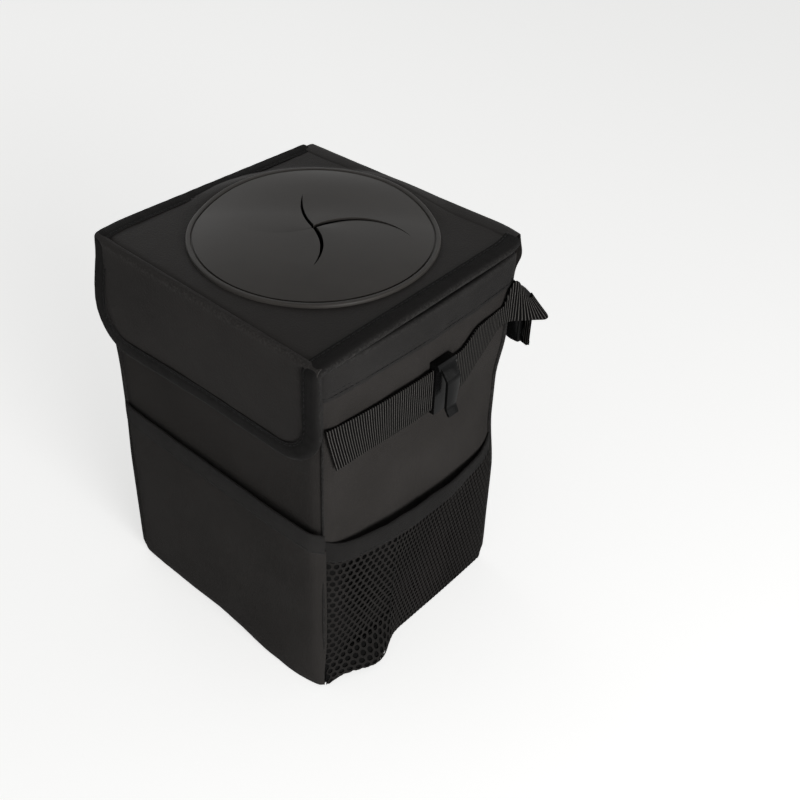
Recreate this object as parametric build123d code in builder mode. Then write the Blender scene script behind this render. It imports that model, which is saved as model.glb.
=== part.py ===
"""Folding car trash bin: cloth walls stiffened with board, a slit rubber lid, pockets, straps and bag hooks.

The frame stands on the floor at z = 0 with the flap at the front (-Y) and the lid hinge at the back (+Y).
"""
import math
import os

from build123d import *

# Body
bin_width = 200.0
bin_depth = 180.0
wall_height = 281.0
side_bow = 4.0

# Sheet stock
cloth = 1.2
board = 1.8
lining = 0.8
tape = 0.9
seat_gap = 0.3

# Trim on the body
rim_drop = 23.0
rim_inner_drop = 15.0
piping_radius = 1.8
board_margin = 4.5
fold_gap = 4.0

# Front pocket
pocket_top = 153.0
pocket_hem_height = 17.0
pocket_slack_top = 3.0
pocket_slack_foot = 0.6

# Mesh pockets
mesh = 1.3
mesh_top = 148.0
mesh_sag = 11.0
mesh_hem_height = 16.0
mesh_slack_top = 14.0
mesh_slack_foot = 1.0
mesh_bar = 4.2
mesh_hole_point = 3.2
mesh_columns = 14
mesh_rows = 7
mesh_border = 9.0

# Lid and its rubber insert
lid_overhang = 4.0
lid_board_thickness = 2.0
lid_cloth = 1.0
binding_width = 13.0
binding_start = 6.0
hinge_setback = 11.0
insert_margin = 8.9
insert_setback = 5.0
insert_flange = 3.2
insert_fit = 0.2
insert_neck = 1.6
insert_bead_height = 2.4
insert_bead_round = 0.9
insert_lip_width = 3.0
insert_lip_height = 1.0
membrane = 1.8
membrane_rise = 6.0
membrane_lift = 0.4
groove_width = 1.0
groove_depth = 0.9
slit_count = 4
slit_width = 1.1
slit_radius = 65.0
slit_sweep = 55.0
slit_start_angle = 70.0

# Flap and its closure
flap_drop = 78.0
flap_corner_radius = 34.0
flap_board_thickness = 1.6
closure_width = 110.0
closure_height = 25.0
closure_thickness = 1.3
closure_gap = 0.5
closure_rise = 30.0

# Webbing and its route behind the back
webbing_width = 32.0
webbing = 1.4
strap_drop = 60.0
strap_slack = 2.6
strap_lift_off = 14.0
turn_side_reach = 19.0
turn_back_reach = 19.0
turn_radius = 4.0
flare_radius = 14.0
buckle_lead = 13.0
buckle_angle = 14.0
loop_depth = 38.0
left_bulge = 4.0
left_turn_radius = 9.0
left_bend_x = -45.0
loop_bend_radius = 30.0
free_end = 38.0
straight_lead = 28.0

# Side-release buckle
buckle_width = 41.0
buckle_thickness = 10.0
buckle_round = 1.6
bar = 3.0
bar_slot = 2.8
wrap_gap = 0.15
wrap_return = 5.0
wrap_roundness = 0.98
socket_length = 34.0
socket_shoulder = 8.0
socket_waist = 1.8
socket_wall = 2.2
socket_floor = 6.0
release_radius = 6.5
release_depth = 3.2
release_position = 17.0
prong = 3.2
prong_head = 1.6
prong_head_length = 5.6
guide = 3.0
guide_short = 4.0
plug_fit = 0.3
plug_base = 11.0

# Bag hooks
hook_width = 18.0
hook_position = 12.0
hook_back = 1.2
hook_front = 2.0
hook_cap = 4.2
hook_cap_round = 2.5
hook_lip = 2.6
hook_plate = 1.6
hook_cap_reach = 2.2
hook_root = 1.0
hook_belly = 7.0
hook_belly_drop = 6.5
hook_belly_radius = 6.0
hook_waist = 6.0
hook_waist_rise = 3.0
hook_waist_radius = 5.0
hook_flare = 9.0
hook_tip_drop = 2.5
hook_tongue_width = 14.0
hook_tip_width = 9.0
hook_tip_round = 3.0
hook_fit = 0.4

# Values worked out from the sizes above
half_width = bin_width / 2
half_depth = bin_depth / 2
wall = cloth + board + lining
rim_top = wall_height + tape
lid_stack = lining + lid_board_thickness + lid_cloth
lid_bottom = rim_top + seat_gap + tape
lid_top = lid_bottom + lid_stack
lid_middle = lid_bottom + lid_stack / 2
lid_half_width = half_width + lid_overhang
lid_axis_y = half_depth + tape + hinge_setback
binding_inner = lid_half_width + tape - binding_width
insert_radius = binding_inner - insert_margin
insert_hole_radius = insert_radius - insert_flange
flap_stack = lining + flap_board_thickness + lid_cloth
flap_stand = 2 * closure_thickness + closure_gap
flap_inner = half_depth + flap_stand
flap_axis_y = -(flap_inner + flap_stack / 2)
flap_half_width = lid_half_width - tape
flap_bottom = lid_middle - flap_drop
lid_front_y = flap_axis_y + flap_stack / 2 + seat_gap
closure_z = flap_bottom + closure_rise
strap_height = wall_height - strap_drop
strap_bottom = strap_height - webbing_width / 2
strap_top = strap_height + webbing_width / 2
strap_plane = Plane.XY.offset(strap_bottom)

os.makedirs("parts", exist_ok=True)


def write(builder, name):
    """Label a finished piece and write it under its own name."""
    builder.part.label = name
    export_step(builder.part, f"parts/{name}.step")


def belly_x(end_x, half_chord, sagitta, y):
    """Return x at y on the arc that runs between (end_x, -half_chord) and (end_x, half_chord)."""
    radius = (half_chord**2 + sagitta**2) / (2 * sagitta)
    return end_x + sagitta - radius + math.sqrt(radius**2 - y**2)


def side_x(y):
    """Return x of the right side's outer cloth at y."""
    return belly_x(half_width, half_depth, side_bow, y)


def plan_outline(inset):
    """Return the body's plan, moved in from the outer cloth."""
    x = half_width - inset
    y = half_depth - inset
    with BuildSketch() as outline:
        with BuildLine():
            Line((-x, -y), (x, -y))
            ThreePointArc((x, -y), (x + side_bow, 0), (x, y))
            Line((x, y), (-x, y))
            ThreePointArc((-x, y), (-x - side_bow, 0), (-x, -y))
        make_face()
    return outline.sketch


def upright_block(inset, bottom, top):
    """Return the body's plan extruded between two heights."""
    with BuildPart() as block:
        with BuildSketch(Plane.XY.offset(bottom)):
            add(plan_outline(inset))
        extrude(amount=top - bottom)
    return block.part


def mirrored(builder):
    """Return a new builder that holds the left-hand copy of a right-hand piece."""
    with BuildPart() as copy:
        mirror(builder.part, about=Plane.YZ)
    return copy


# Floor
with BuildPart() as bottom_panel:
    add(upright_block(0, 0, cloth))
write(bottom_panel, "bottom_panel")

with BuildPart() as bottom_board:
    add(upright_block(cloth + board, cloth, cloth + board))
write(bottom_board, "bottom_board")

# Front and back walls
with BuildPart() as front_panel:
    with BuildSketch(Plane.XY.offset(cloth)):
        with Locations((0, -half_depth)):
            Rectangle(bin_width, cloth, align=(Align.CENTER, Align.MIN))
    extrude(amount=wall_height - cloth)
write(front_panel, "front_panel")

with BuildPart() as front_board:
    with BuildSketch(Plane.XY.offset(cloth)):
        with Locations((0, cloth - half_depth)):
            Rectangle(bin_width - 2 * board_margin, board, align=(Align.CENTER, Align.MIN))
    extrude(amount=wall_height - cloth)
write(front_board, "front_board")

with BuildPart() as back_panel:
    mirror(front_panel.part, about=Plane.XZ)
write(back_panel, "back_panel")

with BuildPart() as back_board:
    mirror(front_board.part, about=Plane.XZ)
write(back_board, "back_board")

# Side walls, each with two boards that meet at the fold line
with BuildPart() as right_side_panel:
    with BuildSketch(Plane.XY.offset(cloth)):
        add(plan_outline(0))
        add(plan_outline(cloth), mode=Mode.SUBTRACT)
        with Locations((half_width, 0)):
            Rectangle(half_width, bin_depth - 2 * cloth, mode=Mode.INTERSECT)
    extrude(amount=wall_height - cloth)
write(right_side_panel, "right_side_panel")
write(mirrored(right_side_panel), "left_side_panel")

with BuildPart() as right_side_boards:
    with BuildSketch(Plane.XY.offset(cloth)):
        add(plan_outline(cloth))
        add(plan_outline(cloth + board), mode=Mode.SUBTRACT)
        with Locations((half_width, 0)):
            Rectangle(half_width, bin_depth - 2 * board_margin, mode=Mode.INTERSECT)
            Rectangle(half_width, fold_gap, mode=Mode.SUBTRACT)
    extrude(amount=wall_height - cloth)
write(right_side_boards, "right_side_boards")
write(mirrored(right_side_boards), "left_side_boards")

# Waterproof bag sewn inside the boards
with BuildPart() as liner:
    add(upright_block(cloth + board, cloth + board, wall_height))
    add(upright_block(wall, wall, wall_height), mode=Mode.SUBTRACT)
write(liner, "liner")

# Tape folded over the rim
with BuildPart() as rim_hem:
    add(upright_block(-tape, wall_height - rim_drop, rim_top))
    add(upright_block(0, wall_height - rim_drop, wall_height), mode=Mode.SUBTRACT)
    add(upright_block(wall, wall_height - rim_inner_drop, wall_height))
    add(upright_block(wall + tape, wall_height - rim_drop, rim_top), mode=Mode.SUBTRACT)
write(rim_hem, "rim_hem")

# Welts along the four corner seams
with BuildPart() as corner_piping:
    with BuildSketch(Plane.XY.offset(cloth)):
        with GridLocations(bin_width, bin_depth, 2, 2):
            Circle(piping_radius)
        add(plan_outline(0), mode=Mode.SUBTRACT)
    extrude(amount=wall_height - rim_drop - cloth)
write(corner_piping, "corner_piping")


# Front pocket, sewn down at its sides and foot
pocket_half = half_width - piping_radius


def pocket_slack(z):
    """Return how far the front pocket stands off the wall at height z."""
    share = (z - cloth) / (pocket_top - cloth)
    return pocket_slack_foot + (pocket_slack_top - pocket_slack_foot) * share


def pocket_wall(bottom, top, thickness):
    """Return the pocket's thin bellied wall between two heights."""
    seam = pocket_half - thickness
    with BuildPart() as sheet:
        for z in (bottom, top):
            slack = pocket_slack(z)
            belly = -half_depth - slack - thickness
            with BuildSketch(Plane.XY.offset(z)):
                with BuildLine():
                    Line((-pocket_half, -half_depth), (-seam, -half_depth))
                    ThreePointArc((-seam, -half_depth), (0, -half_depth - slack), (seam, -half_depth))
                    Line((seam, -half_depth), (pocket_half, -half_depth))
                    ThreePointArc((pocket_half, -half_depth), (0, belly), (-pocket_half, -half_depth))
                make_face()
        loft(ruled=True)
    return sheet.part


with BuildPart() as front_pocket:
    add(pocket_wall(cloth, pocket_top - pocket_hem_height, cloth))
    with BuildSketch(Plane.XY.offset(cloth)):
        with BuildLine():
            foot_belly = -half_depth - pocket_slack_foot - cloth
            ThreePointArc((pocket_half, -half_depth), (0, foot_belly), (-pocket_half, -half_depth))
            Line((-pocket_half, -half_depth), (pocket_half, -half_depth))
        make_face()
    extrude(amount=cloth)
write(front_pocket, "front_pocket")

with BuildPart() as front_pocket_hem:
    add(pocket_wall(pocket_top - pocket_hem_height, pocket_top, cloth + tape))
write(front_pocket_hem, "front_pocket_hem")


# Mesh pockets, which belly out towards their drooping top hems
mesh_half = half_depth - piping_radius


def mesh_wall(thickness):
    """Return the right mesh pocket's wall over its full height."""
    seam = mesh_half - thickness
    edge = mesh_half - thickness / 2
    seam_x = side_x(seam)
    end_x = side_x(mesh_half)
    with BuildPart() as sheet:
        for z, slack in ((cloth, mesh_slack_foot), (mesh_top, mesh_slack_top)):
            crown = half_width + side_bow + slack
            with BuildSketch(Plane.XY.offset(z)):
                with BuildLine():
                    ThreePointArc((end_x, -mesh_half), (side_x(edge), -edge), (seam_x, -seam))
                    ThreePointArc((seam_x, -seam), (crown, 0), (seam_x, seam))
                    ThreePointArc((seam_x, seam), (side_x(edge), edge), (end_x, mesh_half))
                    ThreePointArc((end_x, mesh_half), (crown + thickness, 0), (end_x, -mesh_half))
                make_face()
        loft(ruled=True)
    return sheet.part


def droop(z):
    """Return the ends and the middle of a drooping edge that starts at height z."""
    return (-half_depth, z), (0, z - mesh_sag), (half_depth, z)


mesh_reach = half_width + side_bow + mesh_slack_top + mesh + 2 * tape
mesh_edge = mesh_top - mesh_hem_height
mesh_field_bottom = cloth + mesh_border
mesh_field_height = mesh_edge - mesh_sag - mesh_border - mesh_field_bottom
mesh_pitch_y = 2 * (mesh_half - mesh_border) / mesh_columns
mesh_pitch_z = mesh_field_height / mesh_rows
mesh_hole_half = (mesh_pitch_y - mesh_bar) / 2
mesh_hole_shoulder = (mesh_pitch_z - mesh_bar) / 2
mesh_hole_tip = mesh_hole_shoulder + mesh_hole_point

with BuildPart() as right_mesh_pocket:
    add(mesh_wall(mesh))
    with BuildSketch(Plane.YZ):
        with BuildLine():
            ThreePointArc(*droop(mesh_edge))
            Polyline(
                (half_depth, mesh_edge),
                (half_depth, cloth),
                (-half_depth, cloth),
                (-half_depth, mesh_edge),
            )
        make_face()
    extrude(amount=mesh_reach, mode=Mode.INTERSECT)
    with BuildSketch(Plane.YZ.offset(half_width)):
        for row in range(mesh_rows):
            row_z = mesh_field_bottom + (row + 0.5) * mesh_pitch_z
            with Locations((0, row_z)):
                with GridLocations(mesh_pitch_y, mesh_pitch_z, mesh_columns - row % 2, 1):
                    Polygon(
                        (mesh_hole_half, -mesh_hole_shoulder),
                        (mesh_hole_half, mesh_hole_shoulder),
                        (0, mesh_hole_tip),
                        (-mesh_hole_half, mesh_hole_shoulder),
                        (-mesh_hole_half, -mesh_hole_shoulder),
                        (0, -mesh_hole_tip),
                        align=None,
                    )
    extrude(amount=mesh_reach - half_width, mode=Mode.SUBTRACT)
    with BuildSketch(Plane.XY.offset(cloth)):
        with BuildLine():
            foot_crown = half_width + side_bow + mesh_slack_foot + mesh
            foot_x = side_x(mesh_half)
            ThreePointArc((foot_x, -mesh_half), (foot_crown, 0), (foot_x, mesh_half))
            ThreePointArc((foot_x, mesh_half), (half_width + side_bow, 0), (foot_x, -mesh_half))
        make_face()
    extrude(amount=cloth)
write(right_mesh_pocket, "right_mesh_pocket")
write(mirrored(right_mesh_pocket), "left_mesh_pocket")

with BuildPart() as right_mesh_hem:
    add(mesh_wall(mesh + tape))
    with BuildSketch(Plane.YZ):
        with BuildLine():
            ThreePointArc(*droop(mesh_top))
            Line((half_depth, mesh_top), (half_depth, mesh_edge))
            ThreePointArc(*droop(mesh_edge))
            Line((-half_depth, mesh_edge), (-half_depth, mesh_top))
        make_face()
    extrude(amount=mesh_reach, mode=Mode.INTERSECT)
write(right_mesh_hem, "right_mesh_hem")
write(mirrored(right_mesh_hem), "left_mesh_hem")


# Straps: sewn to each side at the corner seams, slack between them, and buckled behind the back
strap_end = half_depth - piping_radius
strap_end_x = side_x(strap_end) + webbing / 2
strap_crown = half_width + side_bow + strap_slack + webbing / 2
lift_off_y = half_depth - strap_lift_off
lift_off_x = belly_x(strap_end_x, strap_end, strap_crown - strap_end_x, lift_off_y)
corner_x = half_width + piping_radius + seat_gap + webbing / 2
wrap_radius = bar / 2 + wrap_gap + webbing / 2
wrap_fillet = wrap_roundness * wrap_radius
along = Vector(-math.cos(math.radians(buckle_angle)), math.sin(math.radians(buckle_angle)))
away = Vector(along.Y, -along.X)
turn_point = Vector(half_width + turn_side_reach, half_depth + turn_back_reach)
socket_bar = turn_point + along * buckle_lead - away * wrap_radius
buckle_span = socket_length + plug_fit + plug_base + 2 * bar_slot + bar
plug_bar = socket_bar + along * buckle_span

with BuildPart() as right_strap:
    with BuildSketch(strap_plane):
        with BuildLine():
            ThreePointArc((strap_end_x, -strap_end), (strap_crown, 0), (lift_off_x, lift_off_y))
            FilletPolyline(
                (lift_off_x, lift_off_y),
                (corner_x, strap_end),
                turn_point,
                socket_bar + (along + away) * wrap_radius,
                socket_bar + (along - away) * wrap_radius,
                socket_bar - away * wrap_radius - along * wrap_return,
                radius=[flare_radius, turn_radius, wrap_fillet, wrap_fillet],
            )
        trace(line_width=webbing)
    extrude(amount=webbing_width)
write(right_strap, "right_strap")

with BuildPart() as left_strap:
    with BuildSketch(strap_plane):
        with BuildLine():
            ThreePointArc((-strap_end_x, -strap_end), (-strap_crown, 0), (-lift_off_x, lift_off_y))
            FilletPolyline(
                (-lift_off_x, lift_off_y),
                (-corner_x, strap_end),
                (-corner_x - left_bulge, half_depth + turn_back_reach),
                (left_bend_x, half_depth + loop_depth),
                plug_bar + along * straight_lead + away * wrap_radius,
                plug_bar + (away - along) * wrap_radius,
                plug_bar - (away + along) * wrap_radius,
                plug_bar - away * wrap_radius + along * free_end,
                radius=[
                    turn_radius,
                    left_turn_radius,
                    loop_bend_radius,
                    loop_bend_radius,
                    wrap_fillet,
                    wrap_fillet,
                ],
            )
        trace(line_width=webbing)
    extrude(amount=webbing_width)
write(left_strap, "left_strap")

# Buckle, drawn on the plane of its flat face with x along the webbing
buckle_plane = Plane(
    origin=(socket_bar.X, socket_bar.Y, strap_height),
    x_dir=(along.X, along.Y, 0),
    z_dir=(away.X, away.Y, 0),
)
buckle_half = buckle_width / 2
socket_start = bar / 2 + bar_slot
mouth = socket_start + socket_length
cavity_half = buckle_half - socket_wall
cavity_depth = buckle_thickness / 2 - socket_wall
slot_half = webbing_width / 2 + plug_fit
waist_half = buckle_half - socket_waist


def wrap_bar(centre):
    """Return the round bar that the webbing wraps, standing at a point of the plan."""
    with BuildPart() as rod:
        with BuildSketch(Plane.XY.offset(strap_height - waist_half)):
            with Locations((centre.X, centre.Y)):
                Circle(bar / 2)
        extrude(amount=2 * waist_half)
    return rod.part


with BuildPart() as buckle_socket:
    with BuildSketch(buckle_plane):
        Polygon(
            (socket_start, -waist_half),
            (socket_start + socket_shoulder, -buckle_half),
            (mouth, -buckle_half),
            (mouth, buckle_half),
            (socket_start + socket_shoulder, buckle_half),
            (socket_start, waist_half),
            align=None,
        )
    extrude(amount=buckle_thickness / 2, both=True)
    fillet(buckle_socket.edges(), radius=buckle_round)
    with BuildSketch(buckle_plane):
        with Locations((-bar / 2, 0)):
            Rectangle(socket_start + bar, 2 * waist_half, align=(Align.MIN, Align.CENTER))
        with Locations((socket_start, 0)):
            Rectangle(socket_start + bar, 2 * slot_half, align=(Align.MAX, Align.CENTER), mode=Mode.SUBTRACT)
    extrude(amount=bar / 2, both=True)
    add(wrap_bar(socket_bar))
    with BuildSketch(buckle_plane):
        with Locations((socket_start + socket_floor, 0)):
            Rectangle(socket_length, 2 * cavity_half, align=(Align.MIN, Align.CENTER))
    extrude(amount=cavity_depth, both=True, mode=Mode.SUBTRACT)
    with BuildSketch(buckle_plane):
        release_y = buckle_half - release_depth + release_radius
        with GridLocations(0, 2 * release_y, 1, 2):
            with Locations((socket_start + release_position, 0)):
                Circle(release_radius)
    extrude(amount=buckle_thickness, both=True, mode=Mode.SUBTRACT)
write(buckle_socket, "buckle_socket")

plug_start = mouth + plug_fit
plug_end = plug_start + plug_base
prong_outer = cavity_half - plug_fit
prong_end = socket_start + socket_floor + plug_fit

with BuildPart() as buckle_plug:
    with BuildSketch(buckle_plane):
        with Locations((plug_start, 0)):
            Rectangle(plug_base, buckle_width, align=(Align.MIN, Align.CENTER))
    extrude(amount=buckle_thickness / 2, both=True)
    fillet(buckle_plug.edges(), radius=buckle_round)
    with BuildSketch(buckle_plane):
        with Locations((plug_end - bar, 0)):
            Rectangle(2 * bar + bar_slot, 2 * waist_half, align=(Align.MIN, Align.CENTER))
        with Locations((plug_end, 0)):
            Rectangle(2 * bar + bar_slot, 2 * slot_half, align=(Align.MIN, Align.CENTER), mode=Mode.SUBTRACT)
    extrude(amount=bar / 2, both=True)
    add(wrap_bar(plug_bar))
    with BuildSketch(buckle_plane):
        with GridLocations(0, 2 * prong_outer - prong, 1, 2):
            with Locations((prong_end, 0)):
                Rectangle(plug_start + bar - prong_end, prong, align=(Align.MIN, Align.CENTER))
        with GridLocations(0, 2 * prong_outer, 1, 2):
            with Locations((socket_start + release_position, 0)):
                Rectangle(prong_head_length, 2 * prong_head)
    extrude(amount=cavity_depth - plug_fit, both=True)
    with BuildSketch(buckle_plane):
        with Locations((prong_end + guide_short, 0)):
            Rectangle(plug_start + bar - prong_end - guide_short, guide, align=(Align.MIN, Align.CENTER))
    extrude(amount=guide / 2, both=True)
write(buckle_plug, "buckle_plug")

# Bag hooks: a slot holds the webbing, and a sprung tongue in front takes the handle of a bag
hook_inner = half_width + side_bow + seat_gap
strap_face = strap_crown + webbing / 2
cap_bottom = strap_top + hook_fit
cap_top = cap_bottom + hook_cap
lip_top = strap_bottom - hook_fit
lip_bottom = lip_top - hook_lip
plate_inner = strap_face + hook_fit
plate_outer = plate_inner + hook_plate
tip_z = strap_bottom - hook_tip_drop

with BuildPart() as hook_tongue:
    with BuildSketch(Plane.XZ.offset(-hook_position)):
        with BuildLine():
            FilletPolyline(
                (plate_outer + hook_root, cap_bottom + hook_cap / 2),
                (plate_outer + hook_belly, strap_top - hook_belly_drop),
                (plate_outer + hook_waist, strap_bottom + hook_waist_rise),
                (plate_outer + hook_flare, tip_z),
                radius=[hook_belly_radius, hook_waist_radius],
            )
        trace(line_width=hook_front)
    extrude(amount=hook_tongue_width / 2, both=True)
    with BuildSketch(Plane.YZ) as tongue_face:
        Polygon(
            (hook_position - hook_tongue_width / 2, cap_top),
            (hook_position - hook_tip_width / 2, tip_z - hook_front),
            (hook_position + hook_tip_width / 2, tip_z - hook_front),
            (hook_position + hook_tongue_width / 2, cap_top),
            align=None,
        )
        fillet(tongue_face.vertices().group_by(Axis.Y)[0], radius=hook_tip_round)
    extrude(amount=plate_outer + 2 * hook_flare, mode=Mode.INTERSECT)

with BuildPart() as right_hook:
    with BuildSketch(Plane.XZ.offset(-hook_position)) as hook_profile:
        Polygon(
            (hook_inner, lip_bottom),
            (plate_outer, lip_bottom),
            (plate_outer, cap_bottom),
            (plate_outer + hook_cap_reach, cap_bottom),
            (plate_outer + hook_cap_reach, cap_top),
            (hook_inner, cap_top),
            align=None,
        )
        fillet(hook_profile.vertices().group_by(Axis.Y)[-1].sort_by(Axis.X)[-1], radius=hook_cap_round)
        Polygon(
            (hook_inner + hook_back, lip_top),
            (plate_inner, lip_top),
            (plate_inner, cap_bottom),
            (hook_inner + hook_back, cap_bottom),
            align=None,
            mode=Mode.SUBTRACT,
        )
    extrude(amount=hook_width / 2, both=True)
    add(hook_tongue.part)
write(right_hook, "right_hook")
write(mirrored(right_hook), "left_hook")

# Closure: soft loop tape on the front wall, stiff hook tape inside the flap
with BuildPart() as front_loop_tape:
    with BuildSketch(Plane.XZ.offset(half_depth)):
        with Locations((0, closure_z)):
            Rectangle(closure_width, closure_height)
    extrude(amount=closure_thickness)
write(front_loop_tape, "front_loop_tape")

with BuildPart() as flap_hook_tape:
    with BuildSketch(Plane.XZ.offset(flap_inner - closure_thickness)):
        with Locations((0, closure_z)):
            Rectangle(closure_width, closure_height)
    extrude(amount=closure_thickness)
write(flap_hook_tape, "flap_hook_tape")

# Lid: lining, board and cover, with a round hole for the rubber insert
lid_length = lid_axis_y - lid_front_y
hole_radius = insert_hole_radius + insert_fit


def lid_sheet(bottom, thickness):
    """Return one flat layer of the lid with its round hole."""
    with BuildPart() as sheet:
        with BuildSketch(Plane.XY.offset(bottom)):
            with Locations((0, lid_front_y)):
                Rectangle(2 * lid_half_width, lid_length, align=(Align.CENTER, Align.MIN))
            with Locations((0, insert_setback)):
                Circle(hole_radius, mode=Mode.SUBTRACT)
        extrude(amount=thickness)
    return sheet.part


with BuildPart() as lid_lining:
    add(lid_sheet(lid_bottom, lining))
write(lid_lining, "lid_lining")

with BuildPart() as lid_board:
    add(lid_sheet(lid_bottom + lining, lid_board_thickness))
write(lid_board, "lid_board")

with BuildPart() as lid_cover:
    add(lid_sheet(lid_top - lid_cloth, lid_cloth))
    with BuildSketch(Plane.YZ):
        with Locations((lid_axis_y, lid_middle)):
            Circle(lid_stack / 2)
            Rectangle(lid_stack, lid_stack, align=(Align.MAX, Align.CENTER), mode=Mode.SUBTRACT)
    extrude(amount=lid_half_width, both=True)
write(lid_cover, "lid_cover")

with BuildPart() as lid_binding:
    with BuildSketch(Plane.XZ.offset(-lid_front_y - binding_start)):
        with Locations((lid_half_width + tape, lid_middle)):
            Rectangle(binding_width, lid_stack + 2 * tape, align=(Align.MAX, Align.CENTER))
        with Locations((lid_half_width, lid_middle)):
            Rectangle(binding_width, lid_stack, align=(Align.MAX, Align.CENTER), mode=Mode.SUBTRACT)
        mirror(about=Plane.YZ)
    extrude(amount=-(lid_length - 2 * binding_start))
write(lid_binding, "lid_binding")

# Rubber insert: a domed membrane in a beaded rim that grips the edge of the hole
neck_radius = insert_hole_radius - insert_neck
dome_foot = lid_top + membrane_lift
dome_crown = dome_foot + membrane_rise + membrane
dome_edge = neck_radius - groove_width
groove_floor = dome_foot + membrane - groove_depth
lip_radius = insert_hole_radius + insert_lip_width
bead_top = lid_top + insert_bead_height

with BuildPart() as slit_insert:
    with BuildSketch(Plane.XZ.offset(-insert_setback)):
        with BuildLine():
            Line((0, dome_crown - membrane), (0, dome_crown))
            TangentArc((0, dome_crown), (dome_edge, dome_foot + membrane), tangent=(1, 0))
            Polyline(
                (dome_edge, dome_foot + membrane),
                (dome_edge, groove_floor),
                (neck_radius, groove_floor),
                (neck_radius, bead_top),
                (insert_radius, bead_top),
                (insert_radius, lid_top),
                (insert_hole_radius, lid_top),
                (insert_hole_radius, lid_bottom),
                (lip_radius, lid_bottom),
                (lip_radius, lid_bottom - insert_lip_height),
                (neck_radius, lid_bottom - insert_lip_height),
                (neck_radius, dome_foot),
            )
            TangentArc((0, dome_crown - membrane), (neck_radius, dome_foot), tangent=(1, 0))
        make_face()
    revolve(axis=Axis((0, insert_setback, 0), (0, 0, 1)))
    bead_edges = slit_insert.edges().filter_by(lambda edge: math.isclose(edge.center().Z, bead_top))
    fillet(bead_edges, radius=insert_bead_round)
    with BuildSketch(Plane.XY.offset(lid_top)):
        for arm in range(slit_count):
            heading = math.radians(slit_start_angle + 360 / slit_count * arm)
            with BuildLine():
                JernArc((0, insert_setback), (math.cos(heading), math.sin(heading)), slit_radius, -slit_sweep)
            trace(line_width=slit_width)
    extrude(amount=membrane_lift + membrane_rise + 2 * membrane, mode=Mode.SUBTRACT)
write(slit_insert, "slit_insert")

# Flap: the same three layers hanging from the lid's front edge


def flap_outline(grow, top):
    """Return the flap's front view up to a height, with its edge moved out by grow."""
    half = flap_half_width + grow
    foot = flap_bottom - grow
    with BuildSketch() as outline:
        with Locations((0, foot)):
            Rectangle(2 * half, top - foot, align=(Align.CENTER, Align.MIN))
        fillet(outline.vertices().group_by(Axis.Y)[0], radius=flap_corner_radius + grow)
    return outline.sketch


def flap_sheet(stand, thickness):
    """Return one flat layer of the flap, stand away from the front wall."""
    with BuildPart() as sheet:
        with BuildSketch(Plane.XZ.offset(half_depth + stand)):
            add(flap_outline(0, lid_middle))
        extrude(amount=thickness)
    return sheet.part


with BuildPart() as flap_lining:
    add(flap_sheet(flap_stand, lining))
write(flap_lining, "flap_lining")

with BuildPart() as flap_board:
    add(flap_sheet(flap_stand + lining, flap_board_thickness))
write(flap_board, "flap_board")

with BuildPart() as flap_cover:
    add(flap_sheet(flap_stand + flap_stack - lid_cloth, lid_cloth))
    with BuildSketch(Plane.YZ):
        with Locations((flap_axis_y, lid_middle)):
            Circle(flap_stack / 2)
            Rectangle(flap_stack, flap_stack, align=(Align.CENTER, Align.MAX), mode=Mode.SUBTRACT)
    extrude(amount=flap_half_width, both=True)
write(flap_cover, "flap_cover")

with BuildPart() as flap_binding:
    with BuildSketch(Plane.XZ.offset(flap_inner - tape)):
        add(flap_outline(tape, lid_middle - binding_start))
        add(flap_outline(tape - binding_width, lid_middle), mode=Mode.SUBTRACT)
    extrude(amount=flap_stack + 2 * tape)
    with BuildSketch(Plane.XZ.offset(flap_inner)):
        add(flap_outline(0, lid_middle))
    extrude(amount=flap_stack, mode=Mode.SUBTRACT)
write(flap_binding, "flap_binding")
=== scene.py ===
"""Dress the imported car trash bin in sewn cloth, mesh, webbing, rubber and moulded plastic."""
import logging
import math
from collections.abc import Callable, Sequence
from dataclasses import dataclass, field, replace
from enum import Enum

import bpy
import numpy as np
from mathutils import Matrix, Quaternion, Vector, noise


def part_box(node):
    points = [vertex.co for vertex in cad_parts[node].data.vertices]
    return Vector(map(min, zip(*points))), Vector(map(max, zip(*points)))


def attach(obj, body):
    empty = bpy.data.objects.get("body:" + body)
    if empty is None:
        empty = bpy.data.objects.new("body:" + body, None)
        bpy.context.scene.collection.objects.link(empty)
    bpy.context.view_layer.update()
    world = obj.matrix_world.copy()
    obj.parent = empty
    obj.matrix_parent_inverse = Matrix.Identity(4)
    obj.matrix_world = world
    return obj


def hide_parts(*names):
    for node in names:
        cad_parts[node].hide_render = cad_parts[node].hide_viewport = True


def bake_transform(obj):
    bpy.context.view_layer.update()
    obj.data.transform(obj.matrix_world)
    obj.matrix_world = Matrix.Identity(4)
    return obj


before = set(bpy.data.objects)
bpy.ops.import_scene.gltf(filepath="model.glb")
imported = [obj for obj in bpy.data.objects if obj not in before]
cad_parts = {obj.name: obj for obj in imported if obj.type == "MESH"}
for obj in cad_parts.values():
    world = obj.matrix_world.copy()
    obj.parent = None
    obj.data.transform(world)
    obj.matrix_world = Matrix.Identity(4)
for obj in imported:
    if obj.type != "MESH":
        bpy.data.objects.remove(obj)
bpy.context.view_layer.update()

log = logging.getLogger("car_trash_bin")

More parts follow.
